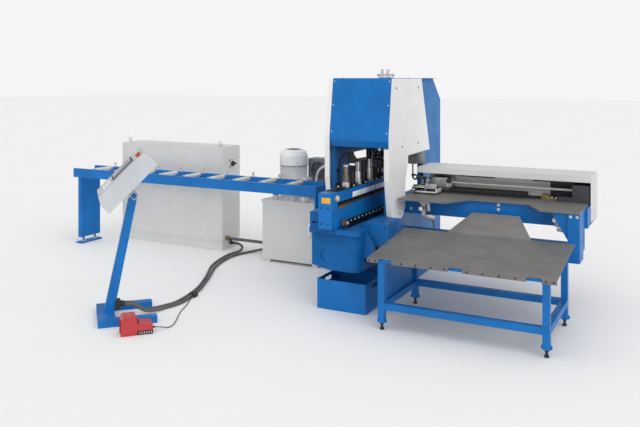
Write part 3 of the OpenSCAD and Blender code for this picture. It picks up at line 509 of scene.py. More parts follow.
@dataclass(frozen=True)
class Finish:
    """One surface finish, with its own values of the shared effects; colours are display values of 0 to 255.

    The last field is where a black end begins, as the least X and Y.
    """

    name: str
    colour: Rgb
    rough: float
    slot: str = "blue_paint"
    metal: float = 0.0
    coat: float = 0.0
    patch: float = 0.10
    patch_size: float = 0.22
    grain_size: float = 0.0012
    grain: float = 0.10
    wear: float = 0.0
    wear_width: float = 0.003
    wear_colour: Rgb = (150, 152, 155)
    dust: float = 0.0
    dust_colour: Rgb = (176, 172, 164)
    brush: Brush = Brush.NONE
    specular: float = 0.5
    black_from: Pair | None = None

    def material(self) -> bpy.types.Material:
        """The material of the finish's name: the frame's own where it has one, or else built at first use."""
        return bpy.data.materials.get(self.name) or self._build()

    def _build(self) -> bpy.types.Material:
        """Base, then wear and dust over it; bump from the grain.

        Returns:
            The material.
        """
        material = bpy.data.materials.new(self.name)
        material.use_nodes = True
        nodes = Nodes(material.node_tree)
        where = nodes.add("TexCoord", {}).outputs["Object"]
        colour, rough, height = self._base(nodes, where)
        if self.wear:
            mask = self._use(nodes, Effects.edge_wear(), where, Width=self.wear_width, Amount=self.wear)
            colour = nodes.mix(mask, colour, srgb(self.wear_colour))
        if self.dust:
            mask = self._use(nodes, Effects.dust(), where, Amount=self.dust)
            colour = nodes.mix(mask, colour, srgb(self.dust_colour))
            rough = nodes.calc("ADD", rough, nodes.span(mask, 0.0, 0.3), True)
        bump = nodes.add("Bump", {"Strength": self.grain, "Distance": 0.001, "Height": height})
        shader = next(n for n in nodes.tree.nodes if n.type == "BSDF_PRINCIPLED")
        values = {
            "Normal": bump.outputs["Normal"], "Base Color": colour, "Roughness": rough,
            "Metallic": self.metal, "Specular IOR Level": self.specular, "Coat Weight": self.coat,
            "Coat Roughness": 0.15,
        }
        for entry, value in values.items():
            nodes.feed(shader.inputs[entry], value)
        material.diffuse_color = srgb(self.colour)
        return material

    def _base(self, nodes: Nodes, where: Socket) -> tuple[Socket, Socket, Socket]:
        """Cloudy paint or metal, with brush marks and a black end where the finish has them.

        Args:
            nodes: The material's nodes.
            where: The coordinates.

        Returns:
            Colour, roughness and bump height.
        """
        patch = self._use(nodes, Effects.patches(), where, Size=self.patch_size)
        colour = nodes.mix(patch, shade(self.colour, 1 - self.patch), srgb(self.colour))
        rough = nodes.span(patch, min(1, self.rough * 1.12), self.rough * 0.9)
        height = self._use(nodes, Effects.grain(), where, Size=self.grain_size)
        if self.brush is not Brush.NONE:
            marks = self._use(nodes, Effects.strokes(), where, Stretch=self.brush.value)
            colour = nodes.mix(nodes.span(marks, 0.0, 0.55), colour, shade(self.colour, 0.72))
            rough = nodes.calc("ADD", rough, nodes.span(marks, -0.08, 0.10))
            height = nodes.calc("ADD", height, marks)
        if self.black_from is not None:
            axes = nodes.add("SeparateXYZ", {"Vector": where}).outputs
            past = [nodes.calc("GREATER_THAN", axes[k], v) for k, v in zip("XY", self.black_from)]
            colour = nodes.mix(nodes.calc("MULTIPLY", *past), colour, srgb((30, 31, 33)))
        return colour, rough, height

    @staticmethod
    def _use(nodes: Nodes, effect: Tree, where: Socket, **values: object) -> Socket:
        """A shared effect placed in this material, reading the coordinates and holding the values."""
        return nodes.add("Group", {"Vector": where, **values}, node_tree=effect).outputs[0]


BLUE = Finish("blue_enamel", (11, 111, 187), 0.43, specular=0.24, coat=0.06, patch=0.09, wear=0.3, dust=0.06)
# Paler, greyer blue of the press frame: painted sheen that stands in for the hazy reflection of the bright
# surround on its side plates.
BODY_WITH_SHEEN = replace(BLUE, name="body_enamel_painted_sheen", colour=(34, 116, 186))
# Darker blue of the base housing: painted shade that stands in for the shade under the ledge above it; the
# ledge takes it too.
BASE_WITH_SHADE = Finish("base_enamel_painted_shade", (7, 98, 168), 0.45, specular=0.2, patch=0.14, wear=0.3, dust=0.05)
WHITE = Finish("white_cladding", (232, 232, 232), 0.42, "white_paint", patch=0.025, wear=0.12, dust=0.04)
COVER = Finish("cover_white", (210, 210, 210), 0.42, "white_paint", patch=0.03, wear=0.12, dust=0.05)
DESK = Finish("desk_grey", (190, 194, 198), 0.42, "white_paint", patch=0.05, wear=0.12, dust=0.06)
LABEL = Finish("blank_label", (238, 239, 243), 0.34, "white_paint", coat=0.1, patch=0.06, patch_size=0.04)
BEIGE = Finish("beige_plastic", (214, 198, 158), 0.42, "white_paint", patch=0.1, patch_size=0.02)
PALE = Finish(
    "cabinet_grey", (211, 211, 209), 0.5, "grey_paint", patch=0.025, grain=0.2, wear=0.15, dust=0.05,
)
CAST = Finish(
    "motor_grey", (236, 236, 236), 0.5, "grey_paint", patch=0.08, grain_size=0.003, grain=0.25, dust=0.08,
)
TABLE = Finish(
    "mill_steel", (134, 133, 131), 0.48, "table_steel", metal=0.35, patch=0.12, patch_size=0.4,
    brush=Brush.ALONG_X, wear=0.3, wear_colour=(176, 176, 174), dust=0.12,
)
BRIGHT = Finish(
    "ground_steel", (196, 197, 198), 0.26, "bright_steel", metal=1.0, patch=0.16, patch_size=0.05, grain=0.04,
)
OILED = Finish(
    "oiled_steel", (132, 118, 104), 0.34, "bright_steel", metal=0.7, patch=0.3, patch_size=0.05, wear=0.4,
)
BRASS = Finish("dull_brass", (164, 142, 92), 0.42, "bright_steel", metal=0.6, patch=0.3, patch_size=0.03)
ZINC = Finish(
    "zinc_plate", (220, 221, 219), 0.34, "zinc_steel", metal=0.8, patch=0.14, patch_size=0.03, grain=0.05,
)
ROLLER = Finish(
    "roller_zinc", (230, 230, 228), 0.36, "zinc_steel", metal=0.3, patch=0.1, patch_size=0.05, grain=0.05,
)
ALLOY = Finish("drawn_alloy", (206, 207, 206), 0.4, "aluminium", metal=0.7, patch=0.08, brush=Brush.ALONG_X)
GUIDE = Finish(
    "guide_alloy", (226, 226, 223), 0.4, "aluminium", metal=0.2, patch=0.06, brush=Brush.ALONG_X,
    black_from=(1.527, 0.24),
)
DARK = Finish("dark_enamel", (58, 60, 66), 0.45, "dark_paint", patch=0.2, wear=0.3, dust=0.12)
GREY = Finish("mid_grey", (124, 126, 128), 0.48, "dark_paint", patch=0.15, wear=0.25, dust=0.1)
OXIDE = Finish(
    "black_oxide", (46, 44, 44), 0.36, "black_oxide", metal=0.5, patch=0.3, patch_size=0.04, wear=0.5,
)
BLACK = Finish("black_plastic", (32, 32, 34), 0.5, "black_plastic", patch=0.2, grain=0.25, dust=0.12)
GLASS = Finish("dark_screen", (24, 28, 34), 0.12, "black_plastic", coat=0.6, patch=0.1, grain=0.0)
RED = Finish("red_plastic", (204, 42, 44), 0.42, "red_plastic", coat=0.05, patch=0.14, grain=0.15, dust=0.22)
YELLOW = Finish("yellow_plate", (236, 196, 30), 0.4, "red_plastic", patch=0.08)
AMBER = Finish("amber_plate", (240, 178, 56), 0.4, "red_plastic", patch=0.1, patch_size=0.02)
HOSE = Finish("hose_cover", (226, 226, 222), 0.5, "white_rubber", patch=0.1, patch_size=0.06, dust=0.15)
CONDUIT = Finish(
    "conduit_sheath", (96, 96, 97), 0.55, "conduit_grey", patch=0.18, patch_size=0.08, grain=0.2, dust=0.2,
)


def dress(finish: Finish, *nodes: str) -> None:
    """Gives CAD nodes a finish through their objects' material slots.

    Args:
        finish: The finish.
        nodes: Names of the nodes.
    """
    for name in nodes:
        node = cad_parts[name]
        node.data.materials.clear()
        node.data.materials.append(finish.material())
        LOG.info("dressed %s in %s", name, finish.name)


def piece(name: str, shape: Shape, finish: Finish, body: str = LINE) -> bpy.types.Object:
    """Makes a shape into a piece that moves with a body.

    Args:
        name: The piece's name.
        shape: Its surface, in place.
        finish: Its finish.
        body: The body that it rides on.

    Returns:
        The object, at the origin.
    """
    mesh = bpy.data.meshes.new(name)
    mesh.from_pydata(shape.points.tolist(), [], [f for block in shape.faces for f in block.tolist()])
    work = bmesh.new()
    work.from_mesh(mesh)
    bmesh.ops.remove_doubles(work, verts=work.verts, dist=WELD)
    bmesh.ops.dissolve_degenerate(work, edges=work.edges, dist=WELD)
    work.to_mesh(mesh)
    work.free()
    mesh.polygons.foreach_set("use_smooth", np.ones(len(mesh.polygons), bool))
    mesh.set_sharp_from_angle(angle=SMOOTH_ANGLE)
    mesh.materials.append(finish.material())
    made = bpy.data.objects.new(name, mesh)
    bpy.context.scene.collection.objects.link(made)
    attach(made, body)
    LOG.info("made %s: %d faces on %s", name, len(mesh.polygons), body)
    return made


def screws(places: Iterable[Vec], direction: Vec, radius: float = 0.006, height: float = 0.003) -> Shape:
    """Round socket heads: a low turned head with a sunk middle, one at each place.

    Args:
        places: Points on the surface that the heads sit on.
        direction: The way out of the surface.
        radius: Radius of a head.
        height: How far a head stands out.

    Returns:
        All the heads as one shape.
    """
    r, h = radius, height
    socket = [(0.82 * r, h), (0.5 * r, h), (0.46 * r, 0.3 * h), (0, 0.3 * h)]
    return lathe([(0, SUNK), (r, SUNK), (r, 0.7 * h), *socket], direction, sides=16).repeated(places)


def hex_bolts(places: Iterable[Vec], direction: Vec, radius: float = 0.009) -> Shape:
    """Hexagon heads on round washers, one at each place.

    Args:
        places: Points on the surface that the bolts sit on.
        direction: The way out of the surface.
        radius: Corner radius of a head.

    Returns:
        All the bolts as one shape.
    """
    r = radius
    rim = [(0, SUNK), (1.35 * r, SUNK), (1.35 * r, 0.12 * r), (1.25 * r, 0.2 * r), (0, 0.2 * r)]
    nut = [(0, 0.15 * r), (r, 0.15 * r), (r, 0.75 * r), (0.86 * r, 0.85 * r), (0, 0.85 * r)]
    return joined([lathe(rim, direction, sides=20), lathe(nut, direction, sides=6)]).repeated(places)


def ring(radius: float, wire: float, direction: Vec, centre: Vec, sides: int = 40) -> Shape:
    """Closed round wire: a small circle carried round a large one.

    Args:
        radius: Radius of the wire's middle line.
        wire: Radius of the wire.
        direction: Axis of the ring.
        centre: Its centre.
        sides: Steps round the ring.

    Returns:
        The closed surface.
    """
    around = np.linspace(0, 2 * np.pi, sides + 1)[:, None]
    section = circle(8)
    reach = radius + wire * np.cos(section)
    local = points_of(reach * np.cos(around), reach * np.sin(around), -wire * np.sin(section))
    bent = grid(local @ basis(direction) + np.asarray(centre, float))
    return Shape(bent.points, bent.faces[:1])


def rubber_buffer(centre: Vec, direction: Vec, radius: float, height: float) -> Shape:
    """Fixed rubber buffer: a turned block with a narrow foot and rounded rims.

    Args:
        centre: Foot of the buffer.
        direction: The way that it stands out.
        radius: Largest radius.
        height: Height of the buffer.

    Returns:
        The closed surface.
    """
    foot = [(0, 0), (0.7, 0), (0.7, 0.14), (0.92, 0.16), (1, 0.26)]
    head = [(1, 0.78), (0.95, 0.9), (0.82, 0.97), (0.6, 1), (0, 1)]
    return lathe([(radius * r, height * h) for r, h in foot + head], direction, centre, sides=32)


@dataclass(frozen=True)
class PhotoCamera:
    """Level camera at the photograph's place; sizes of the image are in its pixels."""

    place: Point = (2.738, -6.473, 1.93)
    yaw: float = 0.4817
    focal_px: float = 736.0
    width_px: float = 640.0
    centre_px: float = 213.5
    horizon_px: float = 78.0
    sensor_mm: float = 36.0

    def build(self) -> None:
        """Makes the camera; its shift puts the horizon at the photograph's height."""
        data = bpy.data.cameras.new("photo_camera")
        data.sensor_fit = "HORIZONTAL"
        data.sensor_width = self.sensor_mm
        data.lens = self.sensor_mm * self.focal_px / self.width_px
        data.shift_y = (self.horizon_px - self.centre_px) / self.width_px
        camera = bpy.data.objects.new("photo_camera", data)
        camera.location = self.place
        camera.rotation_euler = (math.pi / 2, 0, self.yaw)
        bpy.context.scene.collection.objects.link(camera)
        bpy.context.scene.camera = camera


@dataclass(frozen=True)
class Studio:
    """Pale floor that meets an even pale surround, with very soft light from above and from the right.

    Each far light has a name, the way towards it, a strength and a spread in degrees.
    """

    floor_half: float = 60.0
    floor_z: float = -0.0006
    floor: Finish = Finish("pale_floor", (243, 243, 243), 0.75, patch=0.01, patch_size=1.5)
    light: float = 0.62
    shown: float = 0.915
    suns: tuple[tuple[str, Point, float, float], ...] = (
        ("top_light", (0.1, -0.2, 1.0), 0.58, 90),
        ("side_light", (0.80, -0.32, 0.5), 0.66, 50),
        ("front_light", (0.35, -0.85, 0.40), 0.80, 60),
    )

    def build(self) -> None:
        """Makes floor, surround and lights, and sets plain display colours."""
        edge = np.array([-self.floor_half, self.floor_half])
        x, y = np.meshgrid(edge, edge, indexing="xy")
        floor = grid(points_of(x, y, np.full_like(x, self.floor_z)), wrap=False)
        mesh = bpy.data.meshes.new("floor")
        mesh.from_pydata(floor.points.tolist(), [], floor.faces[0].tolist())
        mesh.materials.append(self.floor.material())
        made = bpy.data.objects.new("floor", mesh)
        bpy.context.scene.collection.objects.link(made)
        self.surround()
        bpy.context.scene.view_settings.view_transform = "Standard"
        for sun in self.suns:
            self.sun(*sun)

    def surround(self) -> None:
        """An even white world that lights less than it shows."""
        world = bpy.data.worlds.new("surround")
        world.use_nodes = True
        tree = world.node_tree
        nodes, white = Nodes(tree), (1, 1, 1, 1)
        lit = tree.nodes["Background"]
        nodes.feed(lit.inputs["Color"], white)
        nodes.feed(lit.inputs["Strength"], self.light)
        seen = nodes.add("Background", {"Color": white, "Strength": self.shown})
        direct = nodes.add("LightPath", {}).outputs["Is Camera Ray"]
        both = nodes.add("MixShader", {"Fac": direct, 1: lit.outputs[0], 2: seen.outputs[0]})
        nodes.feed(tree.nodes["World Output"].inputs["Surface"], both.outputs[0])
        bpy.context.scene.world = world

    @staticmethod
    def sun(name: str, towards: Vec, strength: float, spread: float) -> None:
        """A soft far light.

        Args:
            name: Its name.
            towards: The way from the model to the light.
            strength: Its strength.
            spread: The angle that it fills, in degrees.
        """
        data = bpy.data.lights.new(name, "SUN")
        data.energy = strength
        data.angle = math.radians(spread)
        made = bpy.data.objects.new(name, data)
        made.rotation_euler = Vector(towards).to_track_quat("Z", "Y").to_euler()
        bpy.context.scene.collection.objects.link(made)


@dataclass(frozen=True)
class FloorCords:
    """Two ribbed conduits, the pressure hose and the pedal lead, along the route points of their solids."""

    conduit_d: float = 0.026
    hose_d: float = 0.026
    cable_d: float = 0.008
    rib_pitch: float = 0.009
    rib_depth: float = 0.0014
    conduit_lift: float = 0.001
    cord_lift: float = 0.0005
    hose_y: float = 0.4
    sides: int = 14
    route_steps: int = 12
    path_step: int = 6

    def conduit_lie(self) -> float:
        """Height of a conduit's centre line where it lies on the floor."""
        return self.conduit_d / 2 + self.conduit_lift

    def cabinet_route(self) -> list[Vec]:
        """Route from the cabinet's gland to the console post."""
        lie = self.conduit_lie()
        return [
            (-1.99, 0.47, 0.06), (-1.92, 0.466, 0.057), (-1.85, 0.424, 0.038), (-1.82, 0.32, 0.018),
            (-1.835, 0.1, lie), (-1.73, -0.3, lie), (-1.51, -0.72, lie), (-1.35, -1.08, lie),
            (-1.27, -1.44, lie), (-1.3, -1.61, lie), STAND.at(0.289, 0.026, 0.037),
            STAND.at(0.191, 0.026, 0.097), STAND.at(0.124, 0.026, 0.105),
        ]

    def tank_route(self) -> list[Vec]:
        """Route from the hydraulic unit's gland to the console post."""
        lie = self.conduit_lie()
        return [
            (-1.44, 0.56, 0.06), (-1.505, 0.56, 0.057), (-1.6, 0.52, 0.03), (-1.7, 0.38, lie),
            (-1.765, 0.09, lie), (-1.68, -0.3, lie), (-1.475, -0.72, lie), (-1.33, -1.04, lie),
            (-1.273, -1.23, lie), (-1.225, -1.45, lie), (-1.255, -1.63, lie), STAND.at(0.294, -0.026, 0.037),
            STAND.at(0.191, -0.026, 0.097), STAND.at(0.124, -0.026, 0.105),
        ]

    def hose_route(self) -> list[Vec]:
        """Route from the tank lid's fitting up and over to the press."""
        y = self.hose_y
        return [
            (-0.9, y, 0.684), (-0.9, y, 0.744), (-0.9, y, 0.85), (-0.868, y, 0.955), (-0.78, y, 1.01),
            (-0.64, y, 1.015), (-0.48, y, 0.992), (-0.38, y, 0.983), (-0.32, y, 0.98),
        ]

    def pedal_route(self) -> list[Vec]:
        """Route from the foot switch's gland to the clip on the second conduit."""
        lie = self.cable_d / 2 + self.cord_lift
        end = TEE.at(0.045, 0.027, -0.005)
        return [
            SWITCH.at(0.257, 0, 0.03), SWITCH.at(0.297, 0, 0.024), (-0.93, -1.985, 0.008),
            (-0.94, -1.91, lie), (-0.99, -1.81, lie), (-1.085, -1.64, lie), (-1.16, -1.46, lie),
            end + 0.07 * TEE.rows()[0] - (0, 0, 0.005), end,
        ]

    def build(self) -> None:
        """Makes the four cords in place of their solids."""
        dress(BLACK, "conduit_glands")
        self.conduit("ribbed_conduit_a", self.cabinet_route(), "conduit_a")
        self.conduit("ribbed_conduit_b", self.tank_route(), "conduit_b")
        self.plain("white_hose", self.hose_route(), "pressure_hose", self.hose_d, HOSE, BACK)
        self.plain("pedal_lead", self.pedal_route(), "pedal_cable", self.cable_d, CONDUIT, UP)

    def plain(self, name: str, route: list[Vec], node: str, thick: float, finish: Finish, up: Vec) -> None:
        """A smooth round cord of one thickness in place of its solid.

        Args:
            name: The piece's name.
            route: Points that it runs through.
            node: The solid that it stands for.
            thick: Its diameter.
            finish: Its finish.
            up: A direction that it never follows.
        """
        line = evenly(smooth_route(route, self.route_steps, thick / 2 + self.cord_lift), 1.5 * thick)
        made = piece(name, tube(line, thick / 2, self.sides, up), finish)
        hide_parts(node)
        length_of(line)

    def conduit(self, name: str, route: list[Vec], node: str) -> None:
        """A conduit whose radius swells and falls by half a rib depth, once for each rib pitch.

        Args:
            name: The piece's name.
            route: Points that it runs through.
            node: The solid that it stands for.
        """
        line = evenly(smooth_route(route, self.route_steps, self.conduit_lie()), self.rib_pitch / 4)
        wave = np.sign(np.sin(np.arange(len(line)) * np.pi / 2 + np.pi / 4))
        radius = self.conduit_d / 2 - self.rib_depth / 2 + wave * self.rib_depth / 2
        made = piece(name, tube(line, radius, self.sides), CONDUIT)
        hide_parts(node)
        path = line[::self.path_step]
        path = np.concatenate([path, line[-1:]]) if (len(line) - 1) % self.path_step else path
        length_of(path)
        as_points(path)


@dataclass(frozen=True)
class PressHead:
    """Frame, head panel and cladding of the press, with screws, window guard, oil pipe and ram collar.

    Profiles are pairs of radius and height. The panel's ends, the side screws and the guard are pairs of Y
    and Z, and the pipe's points are pairs of X and Z.
    """

    panel_foot: Pair = (-0.575, 1.42)
    panel_head: Pair = (-0.5, 1.929)
    cladding_x: Pair = (0.325, -0.296)
    side_spots: Pairs = ((-0.258, 1.311), (0.154, 1.316), (-0.40, 1.84), (0.16, 1.84), (-0.32, 0.72))
    rear_y: float = 0.95
    collar: Pairs = (
        (0.046, 1.188), (0.056, 1.188), (0.058, 1.192), (0.058, 1.236), (0.055, 1.24), (0.046, 1.24),
    )
    column: Pairs = (
        (0, 1.1), (0.02, 1.1), (0.024, 1.104), (0.024, 1.19), (0.027, 1.192), (0.027, 1.3), (0, 1.3),
    )
    column_foot: Pairs = ((0, 1.062), (0.013, 1.062), (0.015, 1.065), (0.015, 1.101), (0, 1.101))
    column_rings: Vec = (1.12, 1.14, 1.16)
    hood: tuple[Point, Point] = ((0.283, 0.186, 1.115), (0.348, 0.292, 1.219))
    rod: Pairs = ((0, 0.99), (0.013, 0.99), (0.013, 1.014), (0.007, 1.016), (0.007, 1.116), (0, 1.116))
    rod_at: Point = (0.332, 0.24, 0)
    guard: Pairs = (
        (-0.185, 0.92), (0.375, 0.92), (0.375, 1.145), (-0.06, 1.155), (-0.085, 1.228), (-0.185, 1.228),
    )
    guard_x: float = -0.2399
    guard_thick: float = 0.004
    pipe_y: float = -0.43
    pipe_radius: float = 0.0075
    pipe: Pairs = (
        (-0.222, 0.96), (-0.222, 1.06), (-0.22, 1.13), (-0.197, 1.21), (-0.145, 1.247), (-0.09, 1.238),
        (-0.058, 1.21), (-0.05, 1.195),
    )
    nozzle: Pairs = ((0, 0), (0.011, 0), (0.011, 0.012), (0.006, 0.02), (0.004, 0.03), (0, 0.03))
    nozzle_way: Point = (0.35, 0, -1)

    def build(self) -> None:
        """Dresses the solids and adds the small fittings."""
        # Press frame in the paler blue with painted sheen.
        dress(BODY_WITH_SHEEN, "press_frame")
        dress(BLUE, "front_panel")
        # Base housing in the darker blue with painted shade.
        dress(BASE_WITH_SHADE, "base_housing")
        dress(WHITE, "cladding_left", "cladding_right")
        dress(ZINC, "top_fitting")
        dress(OXIDE, "ram_cylinder")
        dress(BRIGHT, "ram")
        dress(GREY, "bar_sensor")
        self.plate_screws()
        self.oil_pipe()
        self.columns()
        self.window_guard()
        piece("ram_collar", lathe(self.collar, UP, sides=40), OXIDE, "ram")
        piece("ram_collar_screws", screws([(0, -0.058, 1.214)], FRONT), ZINC, "ram")

    def plate_screws(self) -> None:
        """Screws of the sloped head panel, the claddings, the rear and the lid."""
        (y0, z0), (y1, z1) = self.panel_foot, self.panel_head
        spots = lattice((-0.232, 0.302), 0, (1.45, 1.69, 1.9))
        spots[:, 1] = y0 + (y1 - y0) * (spots[:, 2] - z0) / (z1 - z0)
        piece("panel_screws", screws(spots, (0, z0 - z1, y1 - y0), radius=0.0065), ZINC)
        for name, x, way in zip(("right", "left"), self.cladding_x, (RIGHT, LEFT)):
            side = [(x, y, z) for y, z in self.side_spots]
            piece(f"side_screws_{name}", screws(side, way, radius=0.0085, height=0.004), BLACK)
        rear = lattice((-0.2, 0.2), self.rear_y, (0.12, 0.55, 1.29, 1.62))
        piece("rear_bolts", hex_bolts(rear, BACK, radius=0.012), ZINC)
        piece("lid_screws", screws(lattice((-0.2, 0.25), (-0.4, 0.1, 0.6), z1), UP), BLACK)

    def columns(self) -> None:
        """Fixed guide columns round the ram and the hood of the bar sensor."""
        spots = lattice((-0.09, 0.09), (-0.06, 0.08), 0)
        piece("guide_columns", lathe(self.column, UP).repeated(spots), OXIDE)
        rings = [ring(0.0242, 0.0016, UP, (0, 0, z), sides=24) for z in self.column_rings]
        foot = lathe(self.column_foot, UP, sides=20)
        piece("guide_column_feet", joined([foot, *rings]).repeated(spots), ZINC)
        piece("sensor_hood", slab(*self.hood), GREY)
        piece("sensor_rod", lathe(self.rod, UP, self.rod_at, sides=16), OXIDE)

    def window_guard(self) -> None:
        """Thin dark plate inside the left bar window; its outline leaves the bar's slot and a gap free."""
        guard = plate(self.guard, RIGHT, (self.guard_x, 0, 0), self.guard_thick)
        piece("window_guard", guard, DARK)
        spots = lattice(self.guard_x + self.guard_thick, (-0.178, 0.368), (0.94, 1.125))
        piece("window_guard_screws", screws(spots, RIGHT, radius=0.005, height=0.001), ZINC)

    def oil_pipe(self) -> None:
        """A bent oil pipe from the left plate over the first tools, with a bracket and a nozzle."""
        y = self.pipe_y
        points = [(x, y, z) for x, z in self.pipe]
        line = evenly(smooth_route(points, 8, 0), 0.012)
        piece("oil_pipe", tube(line, self.pipe_radius, up=BACK), BLACK)
        nozzle = lathe(self.nozzle, self.nozzle_way, points[-1], sides=16)
        foot = slab((-0.241, y - 0.02, 0.93), (-0.206, y + 0.02, 0.975), radius=0.004)
        clamp = slab((-0.241, y - 0.014, 1.075), (-0.211, y + 0.014, 1.1))
        piece("oil_pipe_fittings", joined([nozzle, foot, clamp]), OXIDE)


@dataclass(frozen=True)
class BaseUnit:
    """Front base under the magazine: bolts, drive chain and drive box screws."""

    chain_x: float = 0.106
    chain_y: Pair = (-0.905, -0.105)
    drawn_to: float = -0.486
    runs: Pair = (0.7355, 0.691)
    pitch: float = 0.0254
    link_half: Pair = (0.0123, 0.0062)
    link_thick: float = 0.0022
    core_x: Pair = (0.0795, 0.1045)
    core_half: float = 0.0065
    wheel: Pairs = ((0, 0.08), (0.021, 0.08), (0.029, 0.088), (0.029, 0.096), (0.021, 0.104), (0, 0.104))

    def build(self) -> None:
        """Dresses the drive parts and adds links and bolts."""
        dress(OXIDE, "magazine_chain")
        dress(OILED, "sprocket")
        self.chain()
        box = lattice((0.262, 0.404), -0.86, (0.565, 0.70))
        piece("drive_box_screws", screws(box, FRONT, radius=0.007), BLACK)
        ledge = lattice((-0.15, 0.0, 0.15), -1.05, 0.66)
        piece("ledge_bolts", hex_bolts(ledge, FRONT, radius=0.007), BLUE)
        piece("sprocket_nut", hex_bolts([(0.116, -0.965, 0.728)], RIGHT, radius=0.013), ZINC)

    def chain(self) -> None:
        """Oval links that lie in and out by turns, every third pin of the upper run, and the runs' cores."""
        y0, y1 = self.chain_y
        spots = y0 + self.pitch * (np.arange(int((y1 - y0) / self.pitch)) + 0.5)
        oval = points_of(np.cos(circle(24)), np.sin(circle(24))) * self.link_half
        link = plate(oval, RIGHT, ORIGIN, self.link_thick)
        near = self.chain_x + 0.0004
        places = [(near + 0.0012 * (i % 2), y, z) for z in self.runs for i, y in enumerate(spots)]
        piece("chain_links", link.repeated(places), OXIDE)
        pins = lattice(self.chain_x + 0.002, spots[:-1:3] + self.pitch / 2, self.runs[0])
        piece("chain_pins", screws(pins, RIGHT, radius=0.0056, height=0.006), ROLLER)
        (x0, x1), half = self.core_x, self.core_half
        cores = [slab((x0, self.drawn_to, z - half), (x1, y1, z + half), radius=0.002) for z in self.runs]
        wheel = lathe(self.wheel, RIGHT, (0, y1, sum(self.runs) / 2), sides=28)
        piece("chain_runs", joined([*cores, wheel]), OXIDE)


